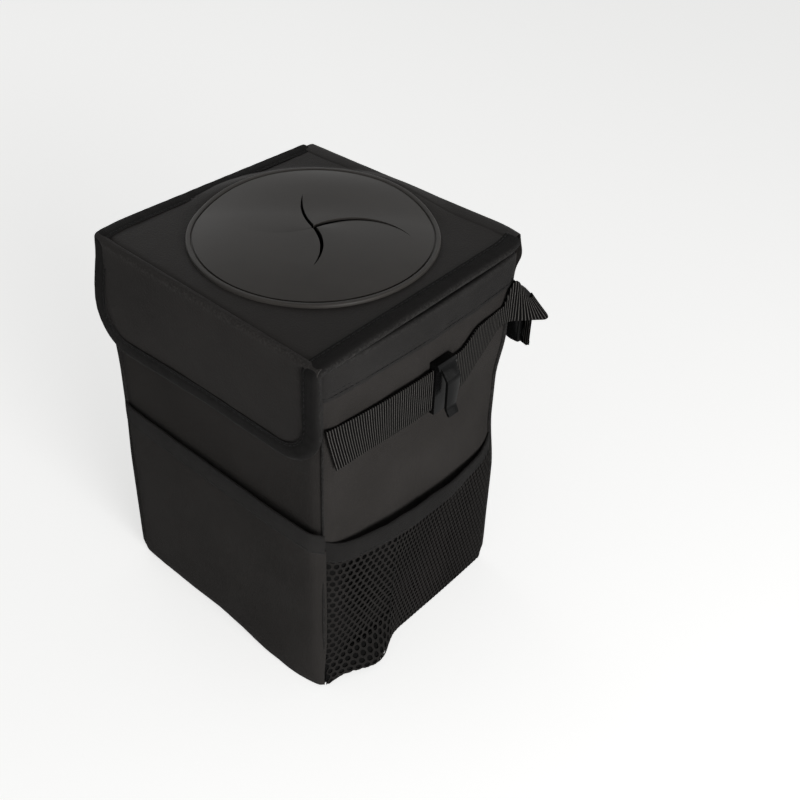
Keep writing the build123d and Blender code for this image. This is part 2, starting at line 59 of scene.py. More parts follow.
Array = np.ndarray
Pair = tuple[float, float]
Triple = tuple[float, float, float]
Colour = Triple
Socket = bpy.types.NodeSocket
Surface = Callable[[Array, Array], Array]
Sockets = dict[str, object]
MM = 0.001
FULL_TURN = 2 * math.pi
TAPE_CREASE = 60.0  # degrees: edges of tapes and cloth that are sharper stay crisp
BOARD_CREASE = 50.0  # the same for boards, plates and the liner
NO_CREASE = 180.0  # for yarn and thread, which are smooth all round
SEAM_INSET = 2.2 * MM  # distance of a row of stitches from the edge of its tape
HEM_CLOTH = 0.45 * MM  # thickness of a folded hem band


class Side(Enum):
    """The two mirrored sides of the bin, by the sign of x."""

    RIGHT = 1
    LEFT = -1

    @property
    def word(self) -> str:
        """Return the side's word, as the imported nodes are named."""
        return self.name.lower()


class Body(Enum):
    """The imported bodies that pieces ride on."""

    BIN = "bin"
    LID = "lid"
    FLAP = "flap"
    LEFT_HOOK = "left_bag_hook"
    RIGHT_HOOK = "right_bag_hook"


@dataclass(frozen=True)
class BinForm:
    """The bin's main places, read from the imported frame, in metres."""

    half_width: float  # x of the front corners
    half_depth: float  # y of the back corners
    foot: float  # lowest edge of the wall cloth
    height: float  # top edge of the wall cloth
    bow: float  # how far the middle of a side stands out from its corners
    lid_half_width: float  # x of the lid's side edges
    lid_front: float  # y of the lid's front edge
    lid_axis: float  # y of the fold at the back of the lid
    lid_low: float  # underside of the lid
    lid_high: float  # top of the lid's cloth
    flap_half_width: float  # x of the flap's side edges
    flap_low: float  # lower edge of the flap
    flap_front: float  # y of the flap's outer face
    flap_back: float  # y of the flap's inner face
    disc_y: float  # y of the rubber insert's middle
    disc_radius: float  # outer radius of the rubber insert
    strap_low: float  # lower edge of the webbing
    strap_high: float  # upper edge of the webbing
    waist: float = 3.0 * MM  # how far the walls are drawn in above the pockets
    # where that begins, is full, begins to end and ends
    waist_heights: tuple[float, ...] = (95 * MM, 150 * MM, 180 * MM, 220 * MM)
    flare: float = 5.0 * MM  # how far the right back corner stands out at the rim
    flare_heights: Pair = (240 * MM, 272 * MM)  # where that begins and is full
    flare_from: Pair = (30 * MM, 20 * MM)  # x and y where it begins on the walls
    foot_share: float = 0.7  # share of the bow that is missing at the foot
    foot_height: float = 80 * MM  # height where the sides have their full bow
    # how far the lid's raised corners are drawn in, on the right and on the left
    corner_pull: Pair = (4.0 * MM, 2.2 * MM)
    pull_drop: float = 36 * MM  # how far below the rim that begins
    lid_rise: float = 2.2 * MM  # half of how far those corners are raised
    disc_rise: float = 6.5 * MM  # how far the back of the rubber insert is raised
    rise_heading: Pair = (0.64, 0.77)  # the direction in which it rises: shares to the left and back
    rise_reach: Pair = (0.2, 1.05)  # shares of its radius where that begins and is full

    @classmethod
    def measured(cls) -> "BinForm":
        """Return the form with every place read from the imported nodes."""
        nodes = ("front_panel", "right_side_panel", "lid_board", "lid_lining", "lid_cover", "flap_board")
        front, side, board, lining, cover, flap = (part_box(node) for node in nodes)
        disc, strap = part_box("slit_insert"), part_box("right_strap")
        return cls(
            half_width=front[1].x, half_depth=-front[0].y, foot=front[0].z, height=front[1].z,
            bow=side[1].x - front[1].x, lid_half_width=board[1].x, lid_front=board[0].y, lid_axis=board[1].y,
            lid_low=lining[0].z, lid_high=cover[1].z, flap_half_width=flap[1].x, flap_low=flap[0].z,
            flap_front=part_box("flap_cover")[0].y, flap_back=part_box("flap_lining")[1].y,
            disc_y=(disc[0].y + disc[1].y) / 2, disc_radius=disc[1].x,
            strap_low=strap[0].z, strap_high=strap[1].z,
        )

    @property
    def lid_middle(self) -> float:
        """Return the height of the lid's middle layer, where it hinges."""
        return (self.lid_low + self.lid_high) / 2

    @property
    def flap_axis(self) -> float:
        """Return y of the flap's fold."""
        return (self.flap_front + self.flap_back) / 2

    def bowed(self, y: Array) -> Array:
        """Return how far the sides stand out at y."""
        return self.bow * np.clip(1 - (y / self.half_depth) ** 2, 0, 1)

    def side_x(self, y: Array) -> Array:
        """Return x of the right side's outer cloth at y."""
        return self.half_width + self.bowed(y)

    def outline(self, inset: float, corner: float) -> "Loop":
        """Return the bin's outline in plan, an inset inside its walls, with rounded corners."""
        x, y = self.half_width - inset, self.half_depth - inset
        return Loop((-x, -y), (x, y), corner)

    def wrapped(self, plan: Array, z: Array, share: Array | float = 1.0) -> Array:
        """Return places from a line in plan, bowed out at the sides by a share and settled."""
        wide = plan[:, 0] * (1 + self.bowed(plan[:, 1]) / self.half_width * share)
        return self.settled(stacked(wide, plan[:, 1], z))

    def settled(self, places: Array, share: Array | float = 1.0) -> Array:
        """Let the sewn body settle: straight at its foot, drawn in above the pockets, flared at the back.

        Args:
            places: places on the body, one row each.
            share: how much of the change above the foot to take.

        Returns:
            The places after it.
        """
        x, y, z = places.T
        foot = self.foot_share * self.bowed(y) * (1 - ease(z, 0, self.foot_height))
        begin, full, leave, end = self.waist_heights
        waist = self.waist * share * ease(z, begin, full) * (1 - ease(z, leave, end))
        waist *= 0.3 + 0.7 * ease(x, -self.half_width, self.half_width)
        begin_x, begin_y = self.flare_from
        behind = ease(x, begin_x, self.half_width) * ease(y, begin_y, self.half_depth)
        flare = self.flare * share * ease(z, *self.flare_heights) * behind
        wide = x * (1 - (waist + foot) / self.half_width)
        return stacked(wide, y * (1 - waist / self.half_depth) + flare, z)

    def lifted(self, places: Array) -> Array:
        """Warp places on the lid as it lies: two corners up and drawn in, the disc raised at its back."""
        x, y, z = places.T
        middle = (self.lid_axis + self.lid_front) / 2
        across = np.clip(x / self.lid_half_width, -1, 1)
        along = np.clip((y - middle) / (self.lid_axis - middle), -1, 1)
        corner = np.clip(4 * across * along - 3, 0, 1) ** 1.5
        raised = ease(z, self.height - self.pull_drop, self.height)
        inwards = np.where(x > 0, *self.corner_pull) * corner * raised
        rise = self.lid_rise * (1 + across * along)
        from_disc = np.hypot(x, y - self.disc_y) / self.disc_radius
        left, back = self.rise_heading
        backwards = (back * (y - self.disc_y) - left * x) / self.disc_radius
        rise += self.disc_rise * ease(backwards, *self.rise_reach) * (1 - ease(from_disc, 1.0, 1.22))
        return stacked(x - np.sign(x) * inwards, y - np.sign(along) * inwards, z + rise)


def distances(points: Array) -> Array:
    """Return the distance along a line to each of its points."""
    return np.concatenate(([0], np.cumsum(np.linalg.norm(np.diff(points, axis=0), axis=1))))


def length_of(points: Array) -> float:
    """Return the length of a line."""
    return float(np.linalg.norm(np.diff(points, axis=0), axis=1).sum())


def read_at(wanted: Array, known: Array, rows: Array) -> Array:
    """Return rows of values, one for each known place, read at the wanted places."""
    return np.stack([np.interp(wanted, known, column) for column in rows.T], axis=1)


def stacked(*columns: Array) -> Array:
    """Return columns of coordinates as rows."""
    return np.stack(columns, axis=1)


def unit(rows: Array) -> Array:
    """Return directions with a length of 1."""
    return rows / np.linalg.norm(rows, axis=1, keepdims=True)


def resample(points: Array, count: int) -> Array:
    """Return a count of points spaced evenly along a line, first and last included."""
    travel = distances(points)
    return read_at(np.linspace(0, travel[-1], count), travel, points)


def ripple(u: Array, v: Array, seed: float, octaves: int = 3) -> Array:
    """Return smooth noise from about -1 to 1 for pairs of coordinates, one unit per ripple."""
    pairs = zip(u.tolist(), v.tolist())
    return np.array([noise.fractal(Vector((a, b, seed)), 1.0, 2.0, octaves) for a, b in pairs])


def bump(x: Array, centre: float, reach: float) -> Array:
    """Return a smooth hill of height 1 at centre that falls off over reach."""
    return np.exp(-(((x - centre) / reach) ** 2))


def ease(x: Array, low: float, high: float) -> Array:
    """Return 0 below low, 1 above high and a smooth rise between them."""
    share = np.clip((x - low) / (high - low), 0, 1)
    return share * share * (3 - 2 * share)


def through(points: Sequence[Sequence[float]], share: Array) -> Array:
    """Read a smooth line through a few points at shares of its length.

    Args:
        points: the points that the line passes through.
        share: where to read it, from 0 to 1.

    Returns:
        One row for each share.
    """
    knots = np.array(points, float)
    padded = np.vstack([2 * knots[0] - knots[1], knots, 2 * knots[-1] - knots[-2]])
    travel = distances(knots)
    place = np.interp(share * travel[-1], travel, np.arange(len(knots)))
    index = np.clip(place.astype(int), 0, len(knots) - 2)
    t = (place - index)[:, None]
    a, b, c, d = (padded[index + k] for k in range(4))
    return 0.5 * (2 * b + (c - a) * t + (2 * a - 5 * b + 4 * c - d) * t**2 + (3 * b - a - 3 * c + d) * t**3)


class Loop:
    """A closed line in plan that starts at the middle of the back and runs anticlockwise."""

    POINTS = 480

    def __init__(self, low: Sequence[float], high: Sequence[float], radius: float) -> None:
        """Lay out a rectangle with rounded corners.

        Args:
            low: least x and y.
            high: greatest x and y.
            radius: radius of the corners.
        """
        corners = (
            (low[0] + radius, high[1] - radius, 90),
            (low[0] + radius, low[1] + radius, 180),
            (high[0] - radius, low[1] + radius, 270),
            (high[0] - radius, high[1] - radius, 0),
        )
        start = ((low[0] + high[0]) / 2, high[1])
        dense = [start]
        for x, y, first in corners:
            for angle in np.radians(np.linspace(first, first + 90, 14)):
                dense.append((x + radius * math.cos(angle), y + radius * math.sin(angle)))
        dense.append(start)
        self.points = resample(np.array(dense), self.POINTS + 1)

    @property
    def length(self) -> float:
        """Return the length round the loop."""
        return length_of(self.points)

    def at(self, share: Array) -> tuple[Array, Array]:
        """Read the loop at shares of its length.

        Args:
            share: where to read it, from 0 to 1.

        Returns:
            The points and the outward normals there.
        """
        knots = np.linspace(0, 1, self.POINTS + 1)
        closed = self.points[:-1]
        along = np.roll(closed, -1, axis=0) - np.roll(closed, 1, axis=0)
        along = np.vstack([along, along[:1]])
        across = read_at(share, knots, along[:, ::-1])
        across[:, 1] *= -1
        return read_at(share, knots, self.points), unit(across)


@dataclass
class Route:
    """A line over the part with the two directions that a tape or a row of stitches needs."""

    points: Array  # places along the line
    out: Array  # directions across the line, in the face that it lies on
    up: Array  # directions away from that face

    def spaced(self, step: float) -> "Route":
        """Return the same route with points about one step apart."""
        travel = distances(self.points)
        wanted = np.linspace(0, travel[-1], max(2, round(self.length / step) + 1))
        points, out, up = (read_at(wanted, travel, rows) for rows in (self.points, self.out, self.up))
        return Route(points, unit(out), unit(up))

    def moved(self, out: float, up: float) -> "Route":
        """Return the route moved across its face and away from it."""
        return Route(self.points + self.out * out + self.up * up, self.out, self.up)

    @property
    def length(self) -> float:
        """Return the length of the route."""
        return length_of(self.points)


def coat_with(obj: bpy.types.Object, material: bpy.types.Material) -> None:
    """Give an object one material."""
    obj.data.materials.clear()
    obj.data.materials.append(material)


class Piece:
    def __init__(self, name: str) -> None:
        """Take over the mesh that was just added and name it."""
        self.obj: bpy.types.Object = bpy.context.object
        self.obj.name = name
        self.obj.data.name = name

    @classmethod
    def added(cls, name: str, primitive: Callable[..., object], **settings: object) -> "Piece":
        """Add a mesh primitive by its operator and settings."""
        bpy.ops.object.select_all(action="DESELECT")
        primitive(**settings)
        return cls(name)

    @classmethod
    def linked(cls, name: str, mesh: bpy.types.Mesh) -> "Piece":
        """Put a mesh into the scene as a piece."""
        obj = bpy.data.objects.new(name, mesh)
        bpy.context.scene.collection.objects.link(obj)
        bpy.context.view_layer.objects.active = obj
        return cls(name)

    @classmethod
    def sheet(cls, name: str, cells: tuple[int, int], shape: Surface, flat: Pair) -> "Piece":
        """Add a flat grid and shape it.

        Args:
            name: the piece's name.
            cells: how many cells it has along u and v.
            shape: gives the places for arrays of u and v from 0 to 1.
            flat: the sheet's real width and length, which scale its UV map.

        Returns:
            The shaped piece.
        """
        grid = {"x_subdivisions": cells[0], "y_subdivisions": cells[1], "size": 1.0}
        piece = cls.added(name, bpy.ops.mesh.primitive_grid_add, **grid)
        flat_points = piece.points()[:, :2] + 0.5
        piece.move(shape(flat_points[:, 0], flat_points[:, 1]))
        layer = piece.obj.data.uv_layers.active.data
        uv = np.zeros(len(layer) * 2, np.float32)
        layer.foreach_get("uv", uv)
        layer.foreach_set("uv", (uv.reshape(-1, 2) * np.array(flat)).astype(np.float32).ravel())
        return piece

    def points(self) -> Array:
        """Return the mesh's vertices, one row each."""
        co = np.zeros(len(self.obj.data.vertices) * 3, np.float32)
        self.obj.data.vertices.foreach_get("co", co)
        return co.reshape(-1, 3).astype(float)

    def move(self, places: Array) -> None:
        """Put the mesh's vertices at new places."""
        self.obj.data.vertices.foreach_set("co", places.astype(np.float32).ravel())
        self.obj.data.update()

    def only(self) -> None:
        """Make this the one selected and active object."""
        bpy.ops.object.select_all(action="DESELECT")
        self.obj.select_set(True)
        bpy.context.view_layer.objects.active = self.obj

    def edit(self, *steps: Callable[[], object]) -> "Piece":
        """Run operators on the whole mesh in edit mode.

        Args:
            steps: calls to run in order, with everything selected at the start.

        Returns:
            This piece.
        """
        self.only()
        bpy.ops.object.mode_set(mode="EDIT")
        bpy.ops.mesh.select_all(action="SELECT")
        for step in steps:
            step()
        bpy.ops.object.mode_set(mode="OBJECT")
        return self

    def closed(self, distance: float = 0.02 * MM) -> "Piece":
        """Merge vertices that meet, so that seams and poles are closed."""
        return self.edit(lambda: bpy.ops.mesh.remove_doubles(threshold=distance))

    def facing_out(self) -> "Piece":
        """Turn a closed mesh's faces outwards."""
        return self.edit(lambda: bpy.ops.mesh.normals_make_consistent(inside=False))

    def modified(self, kind: str, **settings: object) -> "Piece":
        """Add a modifier and apply it.

        Args:
            kind: the modifier's type.
            settings: its properties.

        Returns:
            This piece.
        """
        self.only()
        modifier = self.obj.modifiers.new(kind.title(), kind)
        for key, value in settings.items():
            setattr(modifier, key, value)
        bpy.ops.object.modifier_apply(modifier=modifier.name)
        return self

    def thick(self, depth: float, even: bool = True) -> "Piece":
        """Give a sheet its thickness, away from its outer face."""
        return self.modified("SOLIDIFY", thickness=depth, offset=-1.0, use_even_offset=even)

    def smooth(self, angle: float = 40.0) -> "Piece":
        """Shade the mesh smooth, with edges sharper than the angle left crisp."""
        self.only()
        bpy.ops.object.shade_smooth_by_angle(angle=math.radians(angle))
        return self

    def joined(self, *others: "Piece") -> "Piece":
        """Join other pieces into this one."""
        self.only()
        for other in others:
            other.obj.select_set(True)
        bpy.ops.object.join()
        return self

    def worn(self, amount: Array) -> "Piece":
        """Keep how worn each vertex is, for the finishes to read."""
        layer = self.obj.data.attributes.new("worn", "FLOAT", "POINT")
        layer.data.foreach_set("value", np.clip(amount, 0, 1).astype(np.float32))
        return self

    def flat_uv(self, across: int, along: int) -> "Piece":
        """Lay the UV map out flat in metres, from two of the vertices' coordinates."""
        mesh = self.obj.data
        corners = np.zeros(len(mesh.loops), np.int32)
        mesh.loops.foreach_get("vertex_index", corners)
        layer = mesh.uv_layers.active or mesh.uv_layers.new(name="UVMap")
        uv = self.points()[corners][:, [across, along]]
        layer.data.foreach_set("uv", uv.astype(np.float32).ravel())
        return self

    def finished(self, material: bpy.types.Material) -> "Piece":
        """Give the piece its one material."""
        coat_with(self.obj, material)
        return self

    def rides(self, body: Body, *nodes: str) -> "Piece":
        """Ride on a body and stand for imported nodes."""
        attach(self.obj, body.value)
        return self.stands_for(*nodes)

    def bends(self, bodies: tuple[Body, Body], start: Array, end: Array, *nodes: str) -> "Piece":
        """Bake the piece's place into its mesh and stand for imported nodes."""
        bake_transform(self.obj)
        return self.stands_for(*nodes)

    def stands_for(self, *nodes: str) -> "Piece":
        """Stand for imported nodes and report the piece."""
        if nodes:
            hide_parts(*nodes)
        faces = len(self.obj.data.polygons)
        log.info("%s: %d faces, for %s", self.obj.name, faces, ", ".join(nodes) or "trim")
        return self


class Board:
    """A node tree with short calls for adding and joining its nodes."""

    def __init__(self, tree: bpy.types.NodeTree) -> None:
        """Start on an empty tree."""
        self.tree = tree
        tree.nodes.clear()

    def add(self, kind: str, sockets: Sockets | None = None, **settings: object) -> bpy.types.Node:
        """Add a node.

        Args:
            kind: the node's type, without the ShaderNode prefix.
            sockets: values or output sockets for its inputs, by name or place.
            settings: the node's own properties.

        Returns:
            The new node.
        """
        prefix = "" if kind.startswith("NodeGroup") else "ShaderNode"
        node = self.tree.nodes.new(prefix + kind)
        for key, value in settings.items():
            setattr(node, key, value)
        for key, value in (sockets or {}).items():
            if isinstance(value, bpy.types.NodeSocket):
                self.tree.links.new(value, node.inputs[key])
            else:
                node.inputs[key].default_value = value
        return node

    def math(self, operation: str, *values: object) -> Socket:
        """Return the result of a math node on numbers or sockets."""
        return self.add("Math", dict(enumerate(values)), operation=operation).outputs[0]

    def blend(self, share: object, low: object, high: object) -> Socket:
        """Return a colour between two others."""
        sockets = {0: share, 6: low, 7: high}
        return self.add("Mix", sockets, data_type="RGBA").outputs[2]

    def group(self, tree: bpy.types.NodeTree, **sockets: object) -> bpy.types.NodeOutputs:
        """Place a shared group with its own values and return its outputs."""
        return self.add("Group", sockets, node_tree=tree).outputs

    def spread(self, value: object, low: float, high: float) -> Socket:
        """Return a share from 0 to 1 moved to a range."""
        return self.add("MapRange", {0: value, 3: low, 4: high}).outputs[0]


class SharedEffects:
    """Effects that several finishes use, each a node group built once."""

    def __init__(self) -> None:
        """Build the groups."""
        self.threads = self._threads()
        self.grain = self._grain()
        self.drift = self._drift()
        self.rubbed = self._rubbed()

    @staticmethod
    def _group(
        name: str, inputs: dict[str, float | None], outputs: Sequence[str]
    ) -> tuple[Board, bpy.types.NodeOutputs, bpy.types.NodeInputs]:
        """Start a group.

        Args:
            name: the group's name.
            inputs: input names with their defaults, None for a vector.
            outputs: names of the values that it puts out.

        Returns:
            The board, what the group is given and what it puts out.
        """
        tree = bpy.data.node_groups.new(name, "ShaderNodeTree")
        for key, value in inputs.items():
            kind = "NodeSocketVector" if value is None else "NodeSocketFloat"
            socket = tree.interface.new_socket(name=key, in_out="INPUT", socket_type=kind)
            if value is not None:
                socket.default_value = value
        for key in outputs:
            tree.interface.new_socket(name=key, in_out="OUTPUT", socket_type="NodeSocketFloat")
        board = Board(tree)
        return board, board.add("NodeGroupInput").outputs, board.add("NodeGroupOutput").inputs

    def _threads(self) -> bpy.types.NodeTree:
        """Return plain weave: threads that pass over and under each other."""
        inputs = {"Vector": None, "Across": 0.8 * MM, "Along": 0.8 * MM, "Uneven": 0.3}
        board, given, made = self._group("woven_threads", inputs, ("Height", "Gap"))
        wobble = board.add("TexNoise", {"Vector": given["Vector"], "Scale": 260.0, "Detail": 2.0}).outputs[0]
        offset = board.math("MULTIPLY", board.math("SUBTRACT", wobble, 0.5), given["Uneven"])
        parts = board.add("SeparateXYZ", {0: given["Vector"]}).outputs
        waves = []
        for part, pitch in ((parts[0], given["Across"]), (parts[1], given["Along"])):
            count = board.math("ADD", board.math("DIVIDE", part, pitch), offset)
            waves.append(board.math("SINE", board.math("MULTIPLY", count, math.pi)))
        wave_x, wave_y = waves
        over = board.spread(board.math("MULTIPLY", wave_x, wave_y), -1.0, 2.0)
        over = board.math("MINIMUM", board.math("MAXIMUM", over, 0.0), 1.0)
        warp = board.math("MULTIPLY", board.math("ABSOLUTE", wave_x), over)
        weft = board.math("MULTIPLY", board.math("ABSOLUTE", wave_y), board.math("SUBTRACT", 1.0, over))
        height = board.math("ADD", warp, weft)
        board.tree.links.new(height, made["Height"])
        board.tree.links.new(board.math("SUBTRACT", 1.0, height), made["Gap"])
        return board.tree

    def _grain(self) -> bpy.types.NodeTree:
        """Return pebbled grain, as of a coated cloth or a moulded face."""
        inputs = {"Vector": None, "Size": 1.0 * MM}
        board, given, made = self._group("pebbled_grain", inputs, ("Height", "Mask"))
        scale = board.math("DIVIDE", 1.0, given["Size"])
        where = {"Vector": given["Vector"], "Scale": scale}
        cells = board.add("TexVoronoi", where, feature="SMOOTH_F1")
        fine = board.add("TexNoise", {**where, "Detail": 4.0, "Roughness": 0.6})
        height = board.math("SUBTRACT", fine.outputs[0], board.math("MULTIPLY", cells.outputs[0], 0.6))
        board.tree.links.new(height, made["Height"])
        board.tree.links.new(fine.outputs[0], made["Mask"])
        return board.tree

    def _drift(self) -> bpy.types.NodeTree:
        """Return broad patches, for slow changes of colour and gloss."""
        board, given, made = self._group("broad_drift", {"Vector": None, "Size": 60 * MM}, ("Mask",))
        scale = board.math("DIVIDE", 1.0, given["Size"])
        patches = board.add("TexNoise", {"Vector": given["Vector"], "Scale": scale, "Detail": 3.0})
        spread = board.add("MapRange", {0: patches.outputs[0], 1: 0.32, 2: 0.68, 3: 0.0, 4: 1.0})
        board.tree.links.new(spread.outputs[0], made["Mask"])
        return board.tree

    def _rubbed(self) -> bpy.types.NodeTree:
        """Return broken-up wear where a vertex attribute says that edges rub."""
        board, given, made = self._group("rubbed_edges", {"Vector": None, "Worn": 0.0}, ("Mask",))
        specks = board.add("TexNoise", {"Vector": given["Vector"], "Scale": 700.0, "Detail": 3.0})
        broken = board.add("MapRange", {0: specks.outputs[0], 1: 0.4, 2: 0.75, 3: 0.0, 4: 1.0})
        mask = board.math("MULTIPLY", broken.outputs[0], given["Worn"])
        board.tree.links.new(mask, made["Mask"])
        return board.tree


def rgba(colour: Colour) -> tuple[float, float, float, float]:
    """Return a colour with full alpha."""
    return (*colour, 1.0)


@dataclass(frozen=True)
class Finish:
    """A surface finish: colours, gloss, threads and grain."""

    name: str  # the material's name
    deep: Colour  # colour of the darker patches
    pale: Colour  # colour of the lighter patches
    rubbed: Colour  # colour where edges are worn, and of the painted highlight on rib tops
    roughness: Pair  # least and greatest roughness
    specular: float = 0.3  # specular level
    sheen: float = 0.0  # weight of the soft light at grazing angles
    sheen_roughness: float = 0.4  # how broad that light is
    across: float = 0.0  # thread pitch along u, 0 for no threads
    along: float = 0.0  # thread pitch along v
    uneven: float = 0.3  # how irregular the threads are
    thread_depth: float = 0.0  # how far threads stand out
    thread_shade: float = 0.0  # how much painted shade darkens the gaps between threads
    grain: float = 0.8 * MM  # size of the grain
    grain_depth: float = 0.05 * MM  # how far the grain stands out
    drift: float = 60 * MM  # size of the broad patches
    ribs: float = 0.0  # pitch of the ribs along u, 0 for none; their tops get a painted highlight
    rib_sharpness: float = 18.0  # how narrow the painted highlight on the rib tops is
    slot: str = ""  # the record's slot, where it has another name

    def material(self, shared: SharedEffects) -> bpy.types.Material:
        """Build the finish as a material.

        Args:
            shared: the node groups that finishes share.

        Returns:
            The new material.
        """
        material = bpy.data.materials.new(self.name)
        material.use_nodes = True
        board = Board(material.node_tree)
        place = board.add("TexCoord").outputs
        drift = board.group(shared.drift, Vector=place["Object"], Size=self.drift)["Mask"]
        grain = board.group(shared.grain, Vector=place["Object"], Size=self.grain)
        worn = board.add("Attribute", attribute_name="worn").outputs["Fac"]
        rubbed = board.group(shared.rubbed, Vector=place["Object"], Worn=worn)["Mask"]
        colour = board.blend(drift, rgba(self.deep), rgba(self.pale))
        height = board.math("MULTIPLY", grain["Height"], self.grain_depth)
        if self.across:
            pitch = {"Across": self.across, "Along": self.along, "Uneven": self.uneven}
            threads = board.group(shared.threads, Vector=place["UV"], **pitch)
            # painted shade: the gaps between threads are darkened towards black
            shade = board.math("MULTIPLY", threads["Gap"], self.thread_shade)
            colour = board.blend(shade, colour, rgba((0.0, 0.0, 0.0)))
            height = board.math("ADD", height, board.math("MULTIPLY", threads["Height"], self.thread_depth))
        # painted highlight: rib tops are blended towards the rubbed colour, broken up by the grain like
        # rubbed fibres
        if self.ribs:
            along = board.add("SeparateXYZ", {0: place["UV"]}).outputs[0]
            wave = board.math("SINE", board.math("MULTIPLY", along, math.pi / self.ribs))
            crest = board.math("POWER", board.math("ABSOLUTE", wave), self.rib_sharpness)
            crest_highlight_flecks = board.math("MULTIPLY", crest, board.spread(grain["Mask"], 0.35, 1.0))
            colour = board.blend(crest_highlight_flecks, colour, rgba(self.rubbed))
        colour = board.blend(rubbed, colour, rgba(self.rubbed))
        roughness = board.spread(drift, *self.roughness)
        normal = board.add("Bump", {"Height": height, "Distance": 1.0, "Strength": 1.0})
        shader = board.add(
            "BsdfPrincipled",
            {
                "Base Color": colour,
                "Roughness": roughness,
                "Specular IOR Level": self.specular,
                "Sheen Weight": self.sheen,
                "Sheen Roughness": self.sheen_roughness,
                "Normal": normal.outputs[0],
            },
        )
        board.add("OutputMaterial", {"Surface": shader.outputs[0]})
        return material


OUTER_CLOTH = Finish(
    "outer_cloth", (0.030, 0.0275, 0.0258), (0.041, 0.0378, 0.0358), (0.070, 0.067, 0.064), (0.62, 0.80),
    specular=0.03, sheen=0.02, across=0.75 * MM, along=0.75 * MM, thread_depth=0.12 * MM, thread_shade=0.6,
    grain=1.6 * MM, grain_depth=0.22 * MM,
)
COATED_CLOTH = Finish(
    "coated_cloth", (0.029, 0.0268, 0.0256), (0.039, 0.0362, 0.0345), (0.075, 0.071, 0.068), (0.45, 0.60),
    specular=0.05, sheen=0.02, across=0.6 * MM, along=0.6 * MM, thread_depth=0.03 * MM, thread_shade=0.2,
    grain=1.3 * MM, grain_depth=0.16 * MM, slot="outer_cloth",
)
LINING_FILM = Finish(
    "lining_film", (0.020, 0.020, 0.021), (0.030, 0.030, 0.031), (0.05, 0.05, 0.05), (0.38, 0.52),
    specular=0.4, across=0.45 * MM, along=0.45 * MM, thread_depth=0.03 * MM, thread_shade=0.15,
    grain=2.5 * MM, grain_depth=0.06 * MM,
)
# the binding tape's darker copy, partly painted shade where the bound edges face the key lamp
BINDING_TAPE = Finish(
    "binding_tape", (0.014, 0.0134, 0.0130), (0.021, 0.0200, 0.0195), (0.060, 0.058, 0.056), (0.62, 0.78),
    specular=0.03, sheen=0.03, across=0.95 * MM, along=0.5 * MM, thread_depth=0.12 * MM, thread_shade=0.5,
    grain=1.4 * MM, grain_depth=0.04 * MM,
)
# painted light: a lighter copy of the same binding tape, for the rim tape and the pocket hems
HEM_TAPE_PAINTED_LIGHTER = replace(
    BINDING_TAPE, name="hem_tape", slot="binding_tape",
    deep=(0.022, 0.0210, 0.0204), pale=(0.031, 0.0295, 0.0286),
)
# painted shade: a near-black copy of the binding tape for the sheets behind the mesh pockets
PAINTED_SHADE_CLOTH = replace(
    BINDING_TAPE, name="backing_cloth", slot="outer_cloth",
    deep=(0.004, 0.0038, 0.0037), pale=(0.006, 0.0058, 0.0056),
)
OPEN_MESH = Finish(
    "open_mesh", (0.014, 0.0130, 0.0123), (0.021, 0.0195, 0.0185), (0.060, 0.057, 0.054), (0.6, 0.75),
    specular=0.03, sheen=0.01, across=0.5 * MM, along=0.7 * MM, uneven=0.8, thread_depth=0.1 * MM,
    thread_shade=0.4, grain=0.9 * MM, grain_depth=0.05 * MM,
)
# its rubbed colour is the painted highlight on the rib tops, mixed with rubbed fibres
WEBBING = Finish(
    "webbing", (0.003, 0.0029, 0.0028), (0.005, 0.0048, 0.0046), (0.135, 0.129, 0.122), (0.6, 0.75),
    specular=0.02, across=0.62 * MM, along=1.1 * MM, thread_depth=0.1 * MM, thread_shade=0.4,
    grain=1.2 * MM, grain_depth=0.04 * MM, ribs=2.0 * MM,
)
MOULDED_PLASTIC = Finish(
    "moulded_plastic", (0.0035, 0.0035, 0.0036), (0.005, 0.005, 0.005), (0.02, 0.02, 0.02), (0.14, 0.24),
    specular=0.14, grain=0.5 * MM, grain_depth=0.006 * MM, drift=12 * MM,
)
SOFT_RUBBER = Finish(
    "soft_rubber", (0.043, 0.0394, 0.0360), (0.053, 0.0487, 0.0447), (0.08, 0.075, 0.07), (0.34, 0.42),
    specular=0.13, sheen=0.02, grain=0.6 * MM, grain_depth=0.02 * MM, drift=45 * MM,
)
CLOSURE_TAPE = Finish(
    "closure_tape", (0.008, 0.008, 0.008), (0.015, 0.015, 0.015), (0.03, 0.03, 0.03), (0.8, 0.95),
    specular=0.2, sheen=0.3, across=1.1 * MM, along=1.1 * MM, uneven=1.2, thread_depth=0.35 * MM,
    thread_shade=0.6, grain=0.7 * MM, grain_depth=0.2 * MM,
)
STIFF_BOARD = Finish(
    "stiff_board", (0.15, 0.15, 0.15), (0.20, 0.20, 0.20), (0.3, 0.3, 0.3), (0.6, 0.75),
    specular=0.3, grain=3 * MM, grain_depth=0.05 * MM,
)
THREAD = Finish(
    "sewing_thread", (0.008, 0.008, 0.008), (0.014, 0.014, 0.0135), (0.03, 0.03, 0.03), (0.5, 0.6),
    specular=0.12, sheen=0.02, grain=0.3 * MM, grain_depth=0.05 * MM, slot="binding_tape",
)


